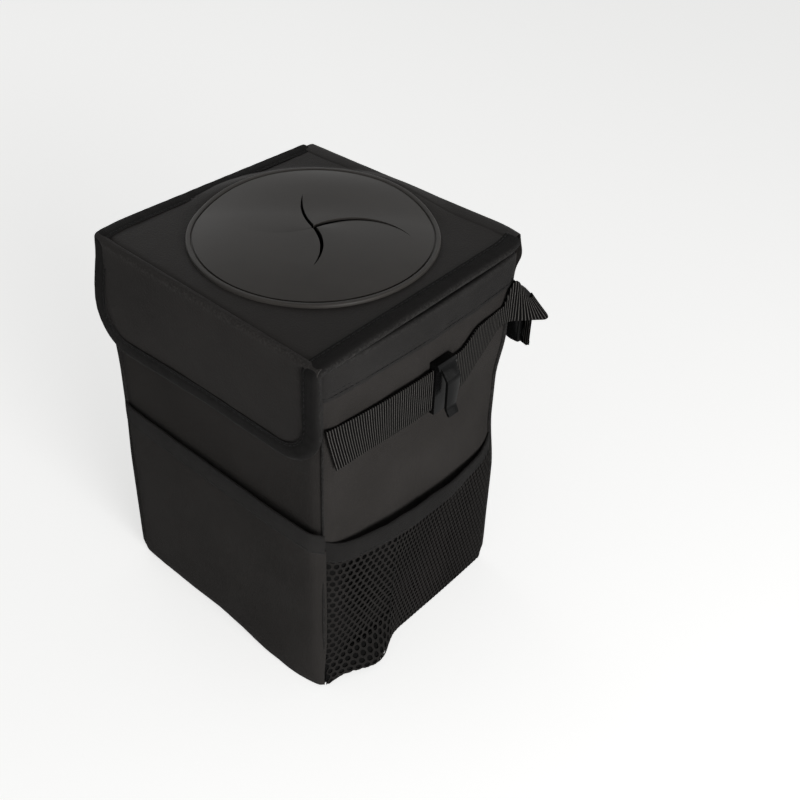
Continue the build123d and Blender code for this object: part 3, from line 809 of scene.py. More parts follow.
@dataclass
class Stitching:
    """Rows of sewing: one stitch is modelled and copied along a route."""

    pitch: float = 4.2 * MM  # distance from one stitch to the next
    length: float = 3.3 * MM  # length of the thread that shows
    radius: float = 0.32 * MM  # half the thread's thickness

    def stitch(self) -> Piece:
        """Model one stitch along x, sunk at both ends."""
        ball = {"segments": 8, "ring_count": 7, "radius": self.radius, "rotation": (0, math.pi / 2, 0)}
        piece = Piece.added("stitch", bpy.ops.mesh.primitive_uv_sphere_add, **ball)
        bpy.ops.object.transform_apply(location=False, rotation=True, scale=False)
        stretch = self.length / (2 * self.radius)
        return piece.edit(lambda: bpy.ops.transform.resize(value=(stretch, 1.0, 0.8)))

    def row(self, name: str, routes: Sequence[Route]) -> Piece:
        """Copy the stitch along routes into one piece.

        Args:
            name: the piece's name.
            routes: the lines that are sewn, on the surface of the cloth.

        Returns:
            The piece with every stitch.
        """
        model = self.stitch()
        points = model.points()
        faces = [list(p.vertices) for p in model.obj.data.polygons]
        places, polygons = [], []
        for route in routes:
            line = route.spaced(self.pitch)
            along = unit(np.gradient(line.points, axis=0))
            for centre, x, z in zip(line.points, along, line.up):
                y = np.cross(z, x)
                first = len(places) * len(points)
                places.append(centre + points @ np.stack([x, y, z]))
                polygons.extend([[first + k for k in face] for face in faces])
        bpy.data.objects.remove(model.obj)
        mesh = bpy.data.meshes.new(name)
        mesh.from_pydata(np.vstack(places).tolist(), [], polygons)
        return Piece.linked(name, mesh).smooth(NO_CREASE)


@dataclass
class Workshop:
    """What every sub-assembly is given."""

    form: BinForm  # the bin's main places
    materials: dict[str, bpy.types.Material]  # the finishes' materials, by name
    sewing: Stitching = field(default_factory=Stitching)  # the stitches


@dataclass
class SubAssembly:
    """A group of pieces that are made together."""

    shop: Workshop  # the form, the materials and the sewing

    @property
    def form(self) -> BinForm:
        """Return the bin's main places."""
        return self.shop.form

    def finish(self, piece: Piece, finish: Finish) -> Piece:
        """Give a piece a finish's material."""
        return piece.finished(self.shop.materials[finish.name])

    def build(self) -> None:
        """Make the pieces."""
        raise NotImplementedError

    def sewn(self, name: str, routes: Sequence[Route]) -> Piece:
        """Make rows of stitches along routes."""
        return self.finish(self.shop.sewing.row(name, routes), THREAD)


@dataclass
class Walls(SubAssembly):
    """The sewn cloth of the four walls and the base."""

    cloth: float = 1.1 * MM  # thickness of the cloth
    crown: float = 0.7 * MM  # how far the middle of the front and back stands out
    crease: float = 0.5 * MM  # depth of the ripples
    corner_reach: float = 9.0 * MM  # width over which the cloth turns in towards a corner seam
    foot_pull: float = 3.0 * MM  # how far the lower corners are drawn in, all but the front right one
    foot_reach: float = 14.0 * MM  # height over which they are drawn in
    fold_dip: float = 0.5 * MM  # depth of the fold line in the middle of each side
    # how far inside a corner its seam lies, at the front right corner and at the others
    seam_inset: Pair = (2.5 * MM, 0.5 * MM)
    turn_depth: float = 1.2  # how far the cloth turns in at a seam, as a share of the seam's inset
    turn_curve: float = 1.7  # how late that turn begins
    turn_height: float = 45 * MM  # height above which pockets follow that turn in full
    fold_width: float = 3 * MM  # how broad the dip at a side's fold line is
    base_corner: float = 6 * MM  # radius of the base's corners

    def inset(self, x: Array, y: Array) -> Array:
        """Return how far inside its corner a seam lies, on the sides that x and y point to."""
        return np.where((np.asarray(x) > 0) & (np.asarray(y) < 0), *self.seam_inset)

    def roll(self, distance: Array, inset: Array) -> Array:
        """Return how far cloth has turned in at a distance from a corner seam."""
        share = np.clip(1 - distance / self.corner_reach, 0, 1)
        return self.turn_depth * inset * share**self.turn_curve

    def drawn_in(self, x: Array, y: Array, z: Array) -> Array:
        """Return how far the corners are drawn in at a height, on the sides that x and y point to."""
        pull = self.foot_pull * np.clip(1 - z / self.foot_reach, 0, 1) ** 2
        return np.where((x > 0) & (y < 0), 0, pull)

    def raised(self, z: Array) -> Array:
        """Return how much of a seam's turn pockets take at a height."""
        return ease(z, 0.0, self.turn_height)

    def facing(self, sign: int) -> Surface:
        """Return the shape of the front wall, sign -1, or the back wall, sign 1."""
        form = self.form

        def shape(u: Array, v: Array) -> Array:
            """Place the wall's cloth."""
            z = form.foot + (form.height - form.foot) * v
            share = 2 * u - 1
            x = -sign * share
            inset = self.inset(x, sign)
            half = form.half_width - inset
            x *= half - self.drawn_in(x, np.full_like(x, sign), z)
            out = self.crown * (1 - share**2) * np.sin(np.pi * v)
            out += self.crease * ripple(u * 3.0, v * 4.0, seed=1.7 * sign)
            out -= self.roll(half * (1 - np.abs(share)), inset)
            return form.settled(stacked(x, sign * (form.half_depth + out), z))

        return shape

    def siding(self, side: Side) -> Surface:
        """Return the shape of a side wall."""
        form = self.form

        def shape(u: Array, v: Array) -> Array:
            """Place the wall's cloth."""
            z = form.foot + (form.height - form.foot) * v
            share = side.value * (2 * u - 1)
            inset = self.inset(side.value, share)
            half = form.half_depth - inset
            y = share * (half - self.drawn_in(np.full_like(share, side.value), share, z))
            out = form.bowed(y) + self.crease * ripple(share * 1.6, v * 3.5, seed=5.1)
            out += 0.6 * self.crease * ripple(share * 5.0, v * 6.0, seed=9.3)
            out -= self.fold_dip * bump(y, 0.0, self.fold_width)
            out -= self.roll(half * (1 - np.abs(share)), inset)
            return form.settled(stacked(side.value * (form.half_width + out), y, z))

        return shape

    def build(self) -> None:
        """Make the walls and the base."""
        form = self.form
        wide = (2 * form.half_width, form.height)
        deep = (2 * form.half_depth, form.height)
        facings = (("front", -1), ("back", 1))
        walls = [(word, f"{word}_panel", 64, self.facing(sign), wide) for word, sign in facings]
        walls += [(side.word, f"{side.word}_side_panel", 72, self.siding(side), deep) for side in Side]
        for word, node, across, shape, flat in walls:
            wall = Piece.sheet(f"{word}_wall_cloth", (across, 72), shape, flat)
            self.finish(wall.thick(self.cloth).smooth(), OUTER_CLOTH).rides(Body.BIN, node)
        self.build_base()

    def build_base(self) -> None:
        """Make the base cloth, rounded at its edge."""
        form = self.form
        edge = 2.0 * MM
        loop = form.outline(0.0, self.base_corner)
        flat = [(share, 0.0) for share in (1.0, 0.6, 0.25, 0.045)]
        profile = [*flat, (0.012, 0.3 * MM), (0.0, form.foot + edge / 3)]

        def shape(u: Array, v: Array) -> Array:
            """Place the base, from its middle to its edge."""
            point, _ = loop.at(1 - u)
            share = through(profile, v)
            return form.wrapped(point * (1 - share[:, :1]), share[:, 1])

        base = Piece.sheet("base_cloth", (160, 16), shape, (loop.length, form.half_width))
        self.finish(base.closed().flat_uv(0, 1).smooth(), OUTER_CLOTH)
        base.rides(Body.BIN, "bottom_panel")


@dataclass
class Boards(SubAssembly):
    """The stiffening boards inside the walls, which settle with the cloth."""

    cover: float = 1.3 * MM  # how far a board's outer face lies under the cloth's
    thickness: float = 1.5 * MM  # a board's thickness
    fold: float = 1.6 * MM  # half the gap between the two boards of a side
    trim: float = 6 * MM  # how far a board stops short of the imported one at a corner

    def board(self, node: str, name: str, reach: Pair, side: Side | None = None) -> Piece:
        """Shape one board.

        Args:
            node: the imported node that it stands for.
            name: the piece's name.
            reach: where it starts and ends along its wall.
            side: the side it is in, or None for the front or the back.

        Returns:
            The board.
        """
        form = self.form
        low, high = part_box(node)
        sign = side.value if side else math.copysign(1, low.y)

        def shape(u: Array, v: Array) -> Array:
            """Place the board's outer face."""
            z = low.z + (high.z - low.z) * v
            if side:
                y = reach[0] + (reach[1] - reach[0]) * (u if sign > 0 else 1 - u)
                return form.settled(stacked(sign * (form.side_x(y) - self.cover), y, z))
            x = reach[0] + (reach[1] - reach[0]) * (u if sign < 0 else 1 - u)
            y = np.full_like(x, sign * (form.half_depth - self.cover))
            return form.settled(stacked(x, y, z))

        piece = Piece.sheet(name, (24, 36), shape, (reach[1] - reach[0], high.z - low.z))
        return piece.thick(self.thickness).smooth(BOARD_CREASE)

    def build(self) -> None:
        """Make the boards of the four walls."""
        for word in ("front", "back"):
            node = f"{word}_board"
            low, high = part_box(node)
            board = self.board(node, f"{word}_stiffener", (low.x + self.trim, high.x - self.trim))
            self.finish(board, STIFF_BOARD).rides(Body.BIN, node)
        for side in Side:
            node, name = f"{side.word}_side_boards", f"{side.word}_stiffeners"
            low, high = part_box(node)
            halves = [(low.y + self.trim, -self.fold), (self.fold, high.y - self.trim)]
            front, back = (self.board(node, name, half, side) for half in halves)
            self.finish(front.joined(back), STIFF_BOARD).rides(Body.BIN, node)


@dataclass
class RimAndWelts(SubAssembly):
    """The tape folded over the rim and the welts on the corner seams."""

    outer_drop: float = 23 * MM  # how far the tape reaches down outside
    inner_drop: float = 15 * MM  # how far it reaches down inside
    wall: float = 3.8 * MM  # thickness of the wall under it
    tape: float = 0.9 * MM  # thickness of the tape
    corner: float = 6 * MM  # radius of its corners
    pucker: float = 0.45 * MM  # depth of its ripples
    welt_radius: float = 0.9 * MM  # radius of a welt
    welt_steps: int = 48  # how many stretches a welt is drawn in
    welt_full: float = 1.9  # how much fuller the welts are at all but the front right corner
    welt_wander: float = 0.25 * MM  # how far a welt strays from its line
    stitch_rises: Pair = (3.2 * MM, 6.4 * MM)  # heights of the rows of stitches above the tape's outer edge
    welt_lap: float = 2 * MM  # how far a welt reaches up under the tape

    def build(self) -> None:
        """Make the rim tape, its stitches and the four welts."""
        form = self.form
        loop = form.outline(0.0, self.corner)
        low = form.height - self.outer_drop
        inner = -self.wall - self.tape
        profile = [
            (0.2 * MM, low), (self.tape + 0.3 * MM, low + 0.8 * MM), (self.tape, low + 3.2 * MM),
            (self.tape + 0.5 * MM, low + 8 * MM), (self.tape + 0.4 * MM, form.height - 5 * MM),
            (self.tape * 0.6, form.height + 0.2 * MM), (-0.6 * self.wall, form.height + self.tape),
            (inner + 0.3 * MM, form.height - 0.2 * MM), (inner, form.height - 5 * MM),
            (inner, form.height - self.inner_drop),
        ]

        def shape(u: Array, v: Array) -> Array:
            """Place the tape round the rim, from its outer edge over the top."""
            point, normal = loop.at(u)
            at = through(profile, v)
            outside = 1 - ease(v, 0.3, 0.55)
            out = at[:, 0] + outside * self.pucker * ripple(u * 46, v * 3, seed=3.3)
            z = at[:, 1] + outside * 0.4 * self.pucker * ripple(u * 24, v, seed=8.8)
            return form.wrapped(point + normal * out[:, None], z)

        width = self.outer_drop + self.inner_drop + self.wall
        rim = Piece.sheet("rim_tape", (420, 36), shape, (loop.length, width))
        rim.worn(bump(rim.points()[:, 2], form.height, 2 * MM) * 0.4)
        # painted light: the rim tape takes the lighter copy of the binding tape
        self.finish(rim.closed().thick(0.5 * self.tape).smooth(TAPE_CREASE), HEM_TAPE_PAINTED_LIGHTER)
        rim.rides(Body.BIN, "rim_hem")
        point, normal = loop.at(np.linspace(0, 1, 900))
        plan = point + normal * (self.tape + 0.25 * MM)
        up = np.column_stack([normal, np.zeros(len(normal))])
        out = np.tile((0.0, 0.0, 1.0), (len(normal), 1))
        rows = []
        for rise in self.stitch_rises:
            z = np.full(len(plan), form.height - (self.outer_drop - rise))
            rows.append(Route(form.wrapped(plan, z), out, up))
        self.sewn("rim_stitches", rows).rides(Body.BIN)
        self.build_welts()

    def build_welts(self) -> None:
        """Draw one welt upwards, then copy it to the four corners."""
        form = self.form
        top = form.height - self.outer_drop + self.welt_lap
        step = (top - form.foot) / self.welt_steps
        circle = {"vertices": 14, "radius": self.welt_radius, "fill_type": "NGON", "calc_uvs": True}
        model = Piece.added("corner_welts", bpy.ops.mesh.primitive_circle_add, **circle)
        rise = {"value": (0, 0, step)}
        draw = [lambda: bpy.ops.mesh.extrude_region_move(TRANSFORM_OT_translate=rise)] * self.welt_steps
        model.edit(*draw)
        model.facing_out()
        copies = []
        walls = Walls(self.shop)
        shape = model.points()
        for x_sign, y_sign in ((1, -1), (1, 1), (-1, 1), (-1, -1)):
            if copies:
                model.only()
                bpy.ops.object.duplicate()
                welt = Piece(f"welt_{len(copies)}")
            else:
                welt = model
            ones = np.ones(len(shape))
            pull = walls.drawn_in(x_sign * ones, y_sign * ones, shape[:, 2] + form.foot)
            wander = self.welt_wander * ripple(shape[:, 2] * 30, 7 * x_sign * ones, seed=2.0 * y_sign)
            places = shape.copy()
            inset = walls.inset(x_sign, y_sign)
            places[:, :2] *= 1.0 if inset == walls.seam_inset[0] else self.welt_full
            places[:, 0] += x_sign * (form.half_width - inset - pull) + 0.5 * wander
            places[:, 1] += y_sign * (form.half_depth - inset - pull)
            places[:, 2] += form.foot
            copies.append((welt, form.settled(places)))
        for welt, places in copies:
            welt.move(places)
        welts = [welt for welt, _ in copies]
        welts[0].joined(*welts[1:])
        points = welts[0].points()
        welts[0].worn(0.35 + 0.3 * ripple(points[:, 2] * 60, points[:, 0] * 3, seed=4.0))
        self.finish(welts[0].flat_uv(2, 1).smooth(TAPE_CREASE), BINDING_TAPE)
        welts[0].rides(Body.BIN, "corner_piping")


@dataclass
class Liner(SubAssembly):
    """The waterproof bag inside the walls."""

    inset: float = 3.9 * MM  # how far its inner face lies inside the outer cloth
    corner: float = 11 * MM  # radius of its upright corners
    floor: float = 4.0 * MM  # height of its floor
    slack: float = 1.4 * MM  # how far it stands in from the boards
    film: float = 0.4 * MM  # its thickness
    floor_wave: float = 0.5 * MM  # depth of the ripples in its floor
    drop: float = 2 * MM  # distance of its upper edge from the rim
    round_in: float = 8 * MM  # radius of its rounded foot
    free_from: Pair = (10 * MM, 60 * MM)  # heights where its slack begins and is full
    held_from: Pair = (40 * MM, 12 * MM)  # distances from its upper edge where that begins to end and ends

    def build(self) -> None:
        """Make the bag."""
        form = self.form
        loop = form.outline(self.inset, self.corner)
        top = form.height - self.drop
        profile = [
            (1.0, self.floor), (0.5, self.floor), (0.08, self.floor),
            (0.015, self.floor + 0.4 * self.round_in), (0.0, self.floor + 2 * self.round_in),
            (0.0, 0.3 * top), (0.0, 0.6 * top), (0.0, top),
        ]
        scale = np.array([form.half_width, 1.0])
        metres = [tuple(np.array(p) * scale) for p in profile]

        def shape(u: Array, v: Array) -> Array:
            """Place the bag, from the middle of its floor up the walls."""
            point, normal = loop.at(1 - u)
            at = through(metres, v)
            inwards = at[:, 0] / form.half_width
            begin, end = self.held_from
            upright = ease(at[:, 1], *self.free_from) * (1 - ease(at[:, 1], top - begin, top - end))
            slack = self.slack * (0.5 + 0.5 * ripple(u * 14, at[:, 1] * 9, seed=6.6)) * upright
            place = (point - normal * slack[:, None]) * (1 - inwards[:, None])
            waves = ripple(place[:, 0] * 30, place[:, 1] * 30, seed=4.4) * (1 - ease(v, 0.2, 0.3))
            z = np.maximum(at[:, 1] + self.floor_wave * waves, self.floor - self.film)
            return form.wrapped(place, z, upright)

        bag = Piece.sheet("liner_bag", (240, 90), shape, (loop.length, top))
        bag.closed(0.05 * MM).thick(self.film).smooth(BOARD_CREASE)
        self.finish(bag, LINING_FILM).rides(Body.BIN, "liner")


@dataclass
class FrontPocket(SubAssembly):
    """The pocket on the front and its hem."""

    half_width: float = 99.4 * MM  # half the pocket's width
    top: float = 153 * MM  # height of its upper edge
    hem: float = 17 * MM  # height of the hem band
    slack_top: float = 3.0 * MM  # how far its upper edge stands off the wall
    slack_foot: float = 0.8 * MM  # how far its lower edge stands off the wall
    cloth: float = 1.1 * MM  # thickness of the cloth
    hem_extra: float = 0.9 * MM  # how much thicker the hem is
    let_down: float = 4.5 * MM  # how much lower its upper edge is at the right
    foot_bulge: float = 6.5 * MM  # how much further its foot stands out at the right
    bulge_reach: Pair = (-20 * MM, 85 * MM)  # x where that begins and is full
    bulge_height: float = 70 * MM  # height where that ends
    foot_tuck: float = 1.4 * MM  # how far its lower edge is drawn in
    tuck_height: float = 9 * MM  # height where that ends
    waves: Pair = (0.55 * MM, 0.25 * MM)  # depth of its broad and of its fine ripples
    hem_wave: float = 0.35 * MM  # how far its hem rises and falls
    least_stand: float = 0.4 * MM  # least distance of the hem's outer face from the wall
    seam_end: float = 3 * MM  # distance of the seam's ends from the pocket's sides

    def stand(self, x: Array, z: Array) -> Array:
        """Return how far the pocket's outer face stands off the wall."""
        share = np.clip((z - self.form.foot) / (self.top - self.form.foot), 0, 1)
        slack = self.slack_foot + (self.slack_top - self.slack_foot) * share
        belly = np.sqrt(np.clip(1 - (x / self.half_width) ** 4, 0, 1))
        tuck = self.foot_tuck * np.clip(1 - z / self.tuck_height, 0, 1) ** 2
        broad, fine = self.waves
        waves = broad * ripple(x * 22, z * 14, seed=12.5) + fine * ripple(x * 70, z * 40, seed=2.5)
        slack = slack + self.foot_bulge * ease(x, *self.bulge_reach) * (1 - ease(z, 0, self.bulge_height))
        return (slack + self.cloth) * belly + waves * belly - tuck

    def laid(self, x: Array, z: Array, stand: Array) -> Array:
        """Return places on the pocket, turned in at the corners and let down to the right."""
        form = self.form
        walls = Walls(self.shop)
        inset = walls.inset(x, -1)
        turned = walls.roll(np.maximum(form.half_width - inset - np.abs(x), 0), inset) * walls.raised(z)
        return form.settled(stacked(x, -form.half_depth - stand + turned, self.slope(x, z)), 0.1)

    def slope(self, x: Array, z: Array) -> Array:
        """Return heights with the pocket's upper edge let down towards the right."""
        return z - self.let_down * z / self.top * (x + self.half_width) / (2 * self.half_width)

    def build(self) -> None:
        """Make the pocket, its hem and the stitches under it."""
        form = self.form
        walls = Walls(self.shop)
        edge = self.top - self.hem

        def shape(u: Array, v: Array) -> Array:
            """Place the pocket's cloth."""
            z = form.foot + (edge + 3 * MM - form.foot) * v
            x = 2 * u - 1
            x *= self.half_width - walls.drawn_in(x, np.full_like(x, -1), z)
            return self.laid(x, z, self.stand(x, z))

        width = 2 * self.half_width
        pocket = Piece.sheet("front_pocket_cloth", (80, 60), shape, (width, edge))
        self.finish(pocket.thick(self.cloth).smooth(), OUTER_CLOTH)
        pocket.rides(Body.BIN, "front_pocket")
        proud = self.hem_extra
        profile = [
            (0.2 * MM, edge - 0.2 * MM), (proud, edge + 0.6 * MM),
            (proud + 0.25 * MM, edge + 0.5 * self.hem), (proud, self.top - 0.8 * MM),
            (0.0, self.top + 0.2 * MM), (-self.cloth, self.top - 0.8 * MM),
            (-self.cloth, edge + 0.4 * self.hem),
        ]

        def band(u: Array, v: Array) -> Array:
            """Place the hem band, folded over the upper edge."""
            at = through(profile, v)
            x = (2 * u - 1) * self.half_width
            z = at[:, 1] + self.hem_wave * ripple(u * 7, np.zeros_like(u), seed=31.0)
            stand = np.maximum(self.stand(x, np.full_like(x, edge)) + at[:, 0], self.least_stand)
            return self.laid(x, z, stand)

        hem = Piece.sheet("front_pocket_band", (110, 22), band, (width, 2 * self.hem))
        # painted light: the hem takes the lighter copy of the binding tape
        self.finish(hem.thick(HEM_CLOTH).smooth(TAPE_CREASE), HEM_TAPE_PAINTED_LIGHTER)
        hem.rides(Body.BIN, "front_pocket_hem")
        x = np.linspace(-self.half_width + self.seam_end, self.half_width - self.seam_end, 240)
        stand = self.stand(x, np.full_like(x, edge)) + proud + 0.05 * MM
        points = self.laid(x, np.full_like(x, edge + SEAM_INSET), stand)
        ones = np.ones_like(x)
        row = Route(points, np.outer(ones, (0, 0, 1)), np.outer(ones, (0, -1, 0)))
        self.sewn("front_pocket_stitches", [row]).rides(Body.BIN)


@dataclass(frozen=True)
class Swell:
    """A soft swelling of cloth."""

    depth: float  # how far it stands out
    along: Pair  # y of its middle and how far it reaches
    height: Pair  # z of its middle and how far it reaches

    def at(self, y: Array, z: Array) -> Array:
        """Return how far it stands out at places."""
        return self.depth * bump(y, *self.along) * bump(z, *self.height)


@dataclass
class MeshPocket(SubAssembly):
    """A knitted mesh pocket on one side, bellied out, with a drooping hem."""

    side: Side  # which side it is on
    half_length: float = 88.2 * MM  # half its length along the side
    top: float = 148 * MM  # height up to which its slack grows
    # y and z of places along the hem's upper edge
    mouth: tuple[Pair, ...] = (
        (-88.5, 140.5), (-86, 139.5), (-81, 137.2), (-72.5, 134.8), (-60, 132.8), (-42, 130.8), (-14, 127.6),
        (30, 124), (60, 123.2), (75, 124), (82, 126.5), (86, 129.5), (88.5, 131.5),
    )
    hem: float = 16.5 * MM  # height of the hem band
    slack_top: float = 6 * MM  # how far the hem stands off the wall in the middle
    slack_foot: float = 1.5 * MM  # how far the foot stands off the wall
    cell_width: float = 5.8 * MM  # width of a mesh cell
    gathered: float = 3.8 * MM  # width of a mesh cell behind the ridge
    cell_height: float = 6.0 * MM  # height from row to row of the mesh
    strand: float = 0.75 * MM  # width of the yarn round a hole
    yarn: float = 0.8 * MM  # thickness of the yarn
    ridge: float = -27 * MM  # y of the ridge where the mesh turns
    # the foot cloth is near-black: painted shade under the mesh
    foot_height: float = 26 * MM  # height of the cloth that backs its foot
    lobe: Swell = Swell(14 * MM, (-50 * MM, 22 * MM), (8 * MM, 15 * MM))  # the swelling at its foot
    # where the mesh lies closer to the wall
    dents: tuple[Swell, ...] = (
        Swell(3.0 * MM, (-37 * MM, 10 * MM), (44 * MM, 14 * MM)),
        Swell(2.5 * MM, (-9 * MM, 10 * MM), (26 * MM, 24 * MM)),
    )
    crease: float = 0.9 * MM  # depth of its ripples
    # the backing sheet is near-black: painted shade behind the mesh
    backing_cloth: float = 0.4 * MM  # thickness of the cloth behind it
    backing_inset: float = 1.5 * MM  # distance of that cloth's ends from the pocket's
    backing_stand: float = 0.8 * MM  # how far it stands off the wall
    taper: float = 0.3  # share by which the hem is lower towards the back
    taper_end: float = 60 * MM  # y where that is full
    lobe_rise: Pair = (-1 * MM, 5 * MM)  # heights where the lobe begins and is full
    held_from: float = 60 * MM  # distance from its middle where it begins to follow the wall
    lap: float = 4 * MM  # how far mesh and backing reach up under the band
    band_extra: float = 0.9 * MM  # how far the band stands out over the mesh
    band_wave: float = 0.3 * MM  # depth of the band's ripples
    seam_end: float = 6 * MM  # distance of the seam's ends from the pocket's
    seam_stand: float = 1.15 * MM  # how far that seam stands off the mesh
    crease_low: float = 22 * MM  # height where the seam along the ridge begins
    crease_wander: Pair = (1.2 * MM, 17 * MM)  # how far that seam strays, and over what height

    def hem_top(self, y: Array) -> Array:
        """Return the height of the hem's upper edge at y."""
        along, height = np.array(self.mouth).T * MM
        return np.interp(y, along, height)

    def hem_low(self, y: Array) -> Array:
        """Return the height of the hem's lower edge at y."""
        return self.hem_top(y) - self.hem * (1 - self.taper * ease(y, 0.0, self.taper_end))

    def stand(self, y: Array, z: Array) -> Array:
        """Return how far the mesh stands off the wall."""
        rise = np.clip(z / self.top, 0, 1)
        slack = self.slack_foot + (self.slack_top - self.slack_foot) * rise
        arc = np.clip(1 - (y / self.half_length) ** 2, 0, 1)
        ahead = np.clip((y + self.half_length) / (self.ridge + self.half_length), 0, 1)
        behind = np.clip((self.half_length - y) / (self.half_length - self.ridge), 0, 1)
        tent = np.minimum(ahead, behind)
        tent = tent * (1.25 - 0.25 * tent)
        upper = ease(rise, 0.55, 0.98)
        out = slack * (upper * arc + (1 - upper) * tent)
        out += self.lobe.at(y, z) * ease(z, *self.lobe_rise)
        for dent in self.dents:
            out -= dent.at(y, z)
        out += self.crease * ripple(y * 28, z * 20, seed=15.5) * np.sqrt(arc)
        return np.maximum(out, self.crease * np.sqrt(arc) + 0.2 * MM)

    def place(self, y: Array, z: Array, out: Array) -> Array:
        """Return places out from the wall on this side."""
        form = self.form
        walls = Walls(self.shop)
        inset = walls.inset(self.side.value, y)
        turned = walls.roll(np.maximum(form.half_depth - inset - np.abs(y), 0), inset)
        x = form.side_x(y) + out - turned * walls.raised(z)
        held = 0.1 + 0.8 * ease(np.abs(y), self.held_from, self.half_length)
        return form.settled(stacked(self.side.value * x, y, z), held)

    def build(self) -> None:
        """Make the mesh, the hem and the stitches between them."""
        word = self.side.word
        self.finish(self.knit(), OPEN_MESH).rides(Body.BIN, f"{word}_mesh_pocket")
        self.finish(self.band(), BINDING_TAPE).rides(Body.BIN, f"{word}_mesh_hem")
        # painted shade: the foot cloth and the backing are near-black sheets seen through the mesh's holes
        self.finish(self.foot(), PAINTED_SHADE_CLOTH).rides(Body.BIN)
        self.finish(self.backing(), PAINTED_SHADE_CLOTH).rides(Body.BIN)
        y = np.linspace(-self.half_length + self.seam_end, self.half_length - self.seam_end, 240)
        z = self.hem_low(y) + SEAM_INSET
        seam = self.sewn_along(y, z, self.stand(y, z) + self.yarn + self.seam_stand)
        z = np.linspace(self.crease_low, self.hem_low(np.array([self.ridge]))[0], 120)
        stray, over = self.crease_wander
        y = self.ridge + stray * np.sin(z / over)
        crease = self.sewn_along(y, z, self.stand(y, z) + self.yarn + 0.2 * MM)
        self.sewn(f"{word}_mesh_stitches", [seam, crease]).rides(Body.BIN)

    def sewn_along(self, y: Array, z: Array, out: Array) -> Route:
        """Return the route of a seam on this side."""
        flat = np.zeros_like(y)
        up = stacked(flat + self.side.value, flat, flat)
        return Route(self.place(y, z, out), stacked(flat, flat, flat + 1), up)

    def backing(self) -> Piece:
        """Lay a near-black sheet on the wall inside the pocket: painted shade behind the mesh.

        Returns:
            The finished cloth.
        """
        form = self.form

        def shape(u: Array, v: Array) -> Array:
            """Place the cloth on the wall."""
            y = self.side.value * (2 * u - 1) * (self.half_length - self.backing_inset)
            z = form.foot + (self.hem_low(y) + self.lap - form.foot) * v
            return self.place(y, z, np.full_like(y, self.backing_stand))

        flat = (2 * self.half_length, self.top)
        cloth = Piece.sheet(f"{self.side.word}_mesh_backing", (60, 40), shape, flat)
        return cloth.thick(self.backing_cloth).smooth(TAPE_CREASE)

    def knit(self) -> Piece:
        """Model one mesh cell, repeat it into a flat panel and lay that on the belly.

        Returns:
            The finished mesh.
        """
        form = self.form
        ahead = (self.ridge + self.half_length) / self.cell_width
        behind = (self.half_length - self.ridge) / self.gathered
        columns = round(ahead + behind)
        rows = round((self.top - self.hem - form.foot) / self.cell_height / 2) + 1
        tip = self.cell_height / 1.5
        hexagon = {"vertices": 6, "radius": 1.0, "fill_type": "NGON"}
        cell = Piece.added(f"{self.side.word}_mesh", bpy.ops.mesh.primitive_circle_add, **hexagon)
        size = (self.cell_width / math.sqrt(3), tip, 1.0)
        cell.edit(
            lambda: bpy.ops.transform.resize(value=size),
            lambda: bpy.ops.mesh.inset(thickness=self.strand),
            lambda: bpy.ops.mesh.delete(type="FACE"),
        )
        steps = (
            (columns, (self.cell_width, 0, 0)),
            (2, (self.cell_width / 2, self.cell_height, 0)),
            (rows, (0, 2 * self.cell_height, 0)),
        )
        for count, offset in steps:
            cell.modified(
                "ARRAY", count=count, use_relative_offset=False, use_constant_offset=True,
                constant_offset_displace=offset, use_merge_vertices=True, merge_threshold=0.05 * MM,
            )
        cell.modified("SUBSURF", levels=1, render_levels=1)
        flat = cell.points()
        span = flat.max(axis=0) - flat.min(axis=0)
        share = (flat - flat.min(axis=0)) / np.where(span > 0, span, 1)
        cell.flat_uv(0, 1)
        along = 0.5 + self.side.value * (share[:, 0] - 0.5)
        ends = (-self.half_length, self.ridge, self.half_length)
        y = np.interp(along, (0, ahead / (ahead + behind), 1), ends)
        edge = self.hem_low(y) + self.lap
        z = form.foot + (edge - form.foot) * share[:, 1]
        cell.move(self.place(y, z, self.stand(y, z) + self.yarn))
        return cell.thick(self.yarn).smooth(NO_CREASE)

    def foot(self) -> Piece:
        """Close the foot of the pocket with a near-black cloth from the wall out and up behind the mesh,
        painted shade under it.

        Returns:
            The cloth.
        """
        form = self.form

        def shape(u: Array, v: Array) -> Array:
            """Place the cloth, from the foot of the wall outwards."""
            y = self.side.value * (2 * u - 1) * self.half_length
            z = form.foot + self.foot_height * v
            behind = np.maximum(self.stand(y, z) - 0.7 * MM, 0.1 * MM)
            return self.place(y, z, 0.2 * MM + behind * ease(v, 0.0, 0.06))

        flat = (2 * self.half_length, self.foot_height)
        cloth = Piece.sheet(f"{self.side.word}_mesh_foot", (90, 26), shape, flat)
        return cloth.thick(self.backing_cloth).smooth(TAPE_CREASE)

    def band(self) -> Piece:
        """Fold the hem band over the mesh's upper edge.

        Returns:
            The finished band.
        """
        proud = self.yarn + self.band_extra
        profile = [
            (self.yarn, 0.0), (proud, 0.05), (proud + 0.35 * MM, 0.5), (proud, 0.93),
            (0.4 * self.yarn, 1.0), (-0.6 * MM, 0.92), (-0.6 * MM, 0.35),
        ]
        scale = np.array([1.0, self.hem])

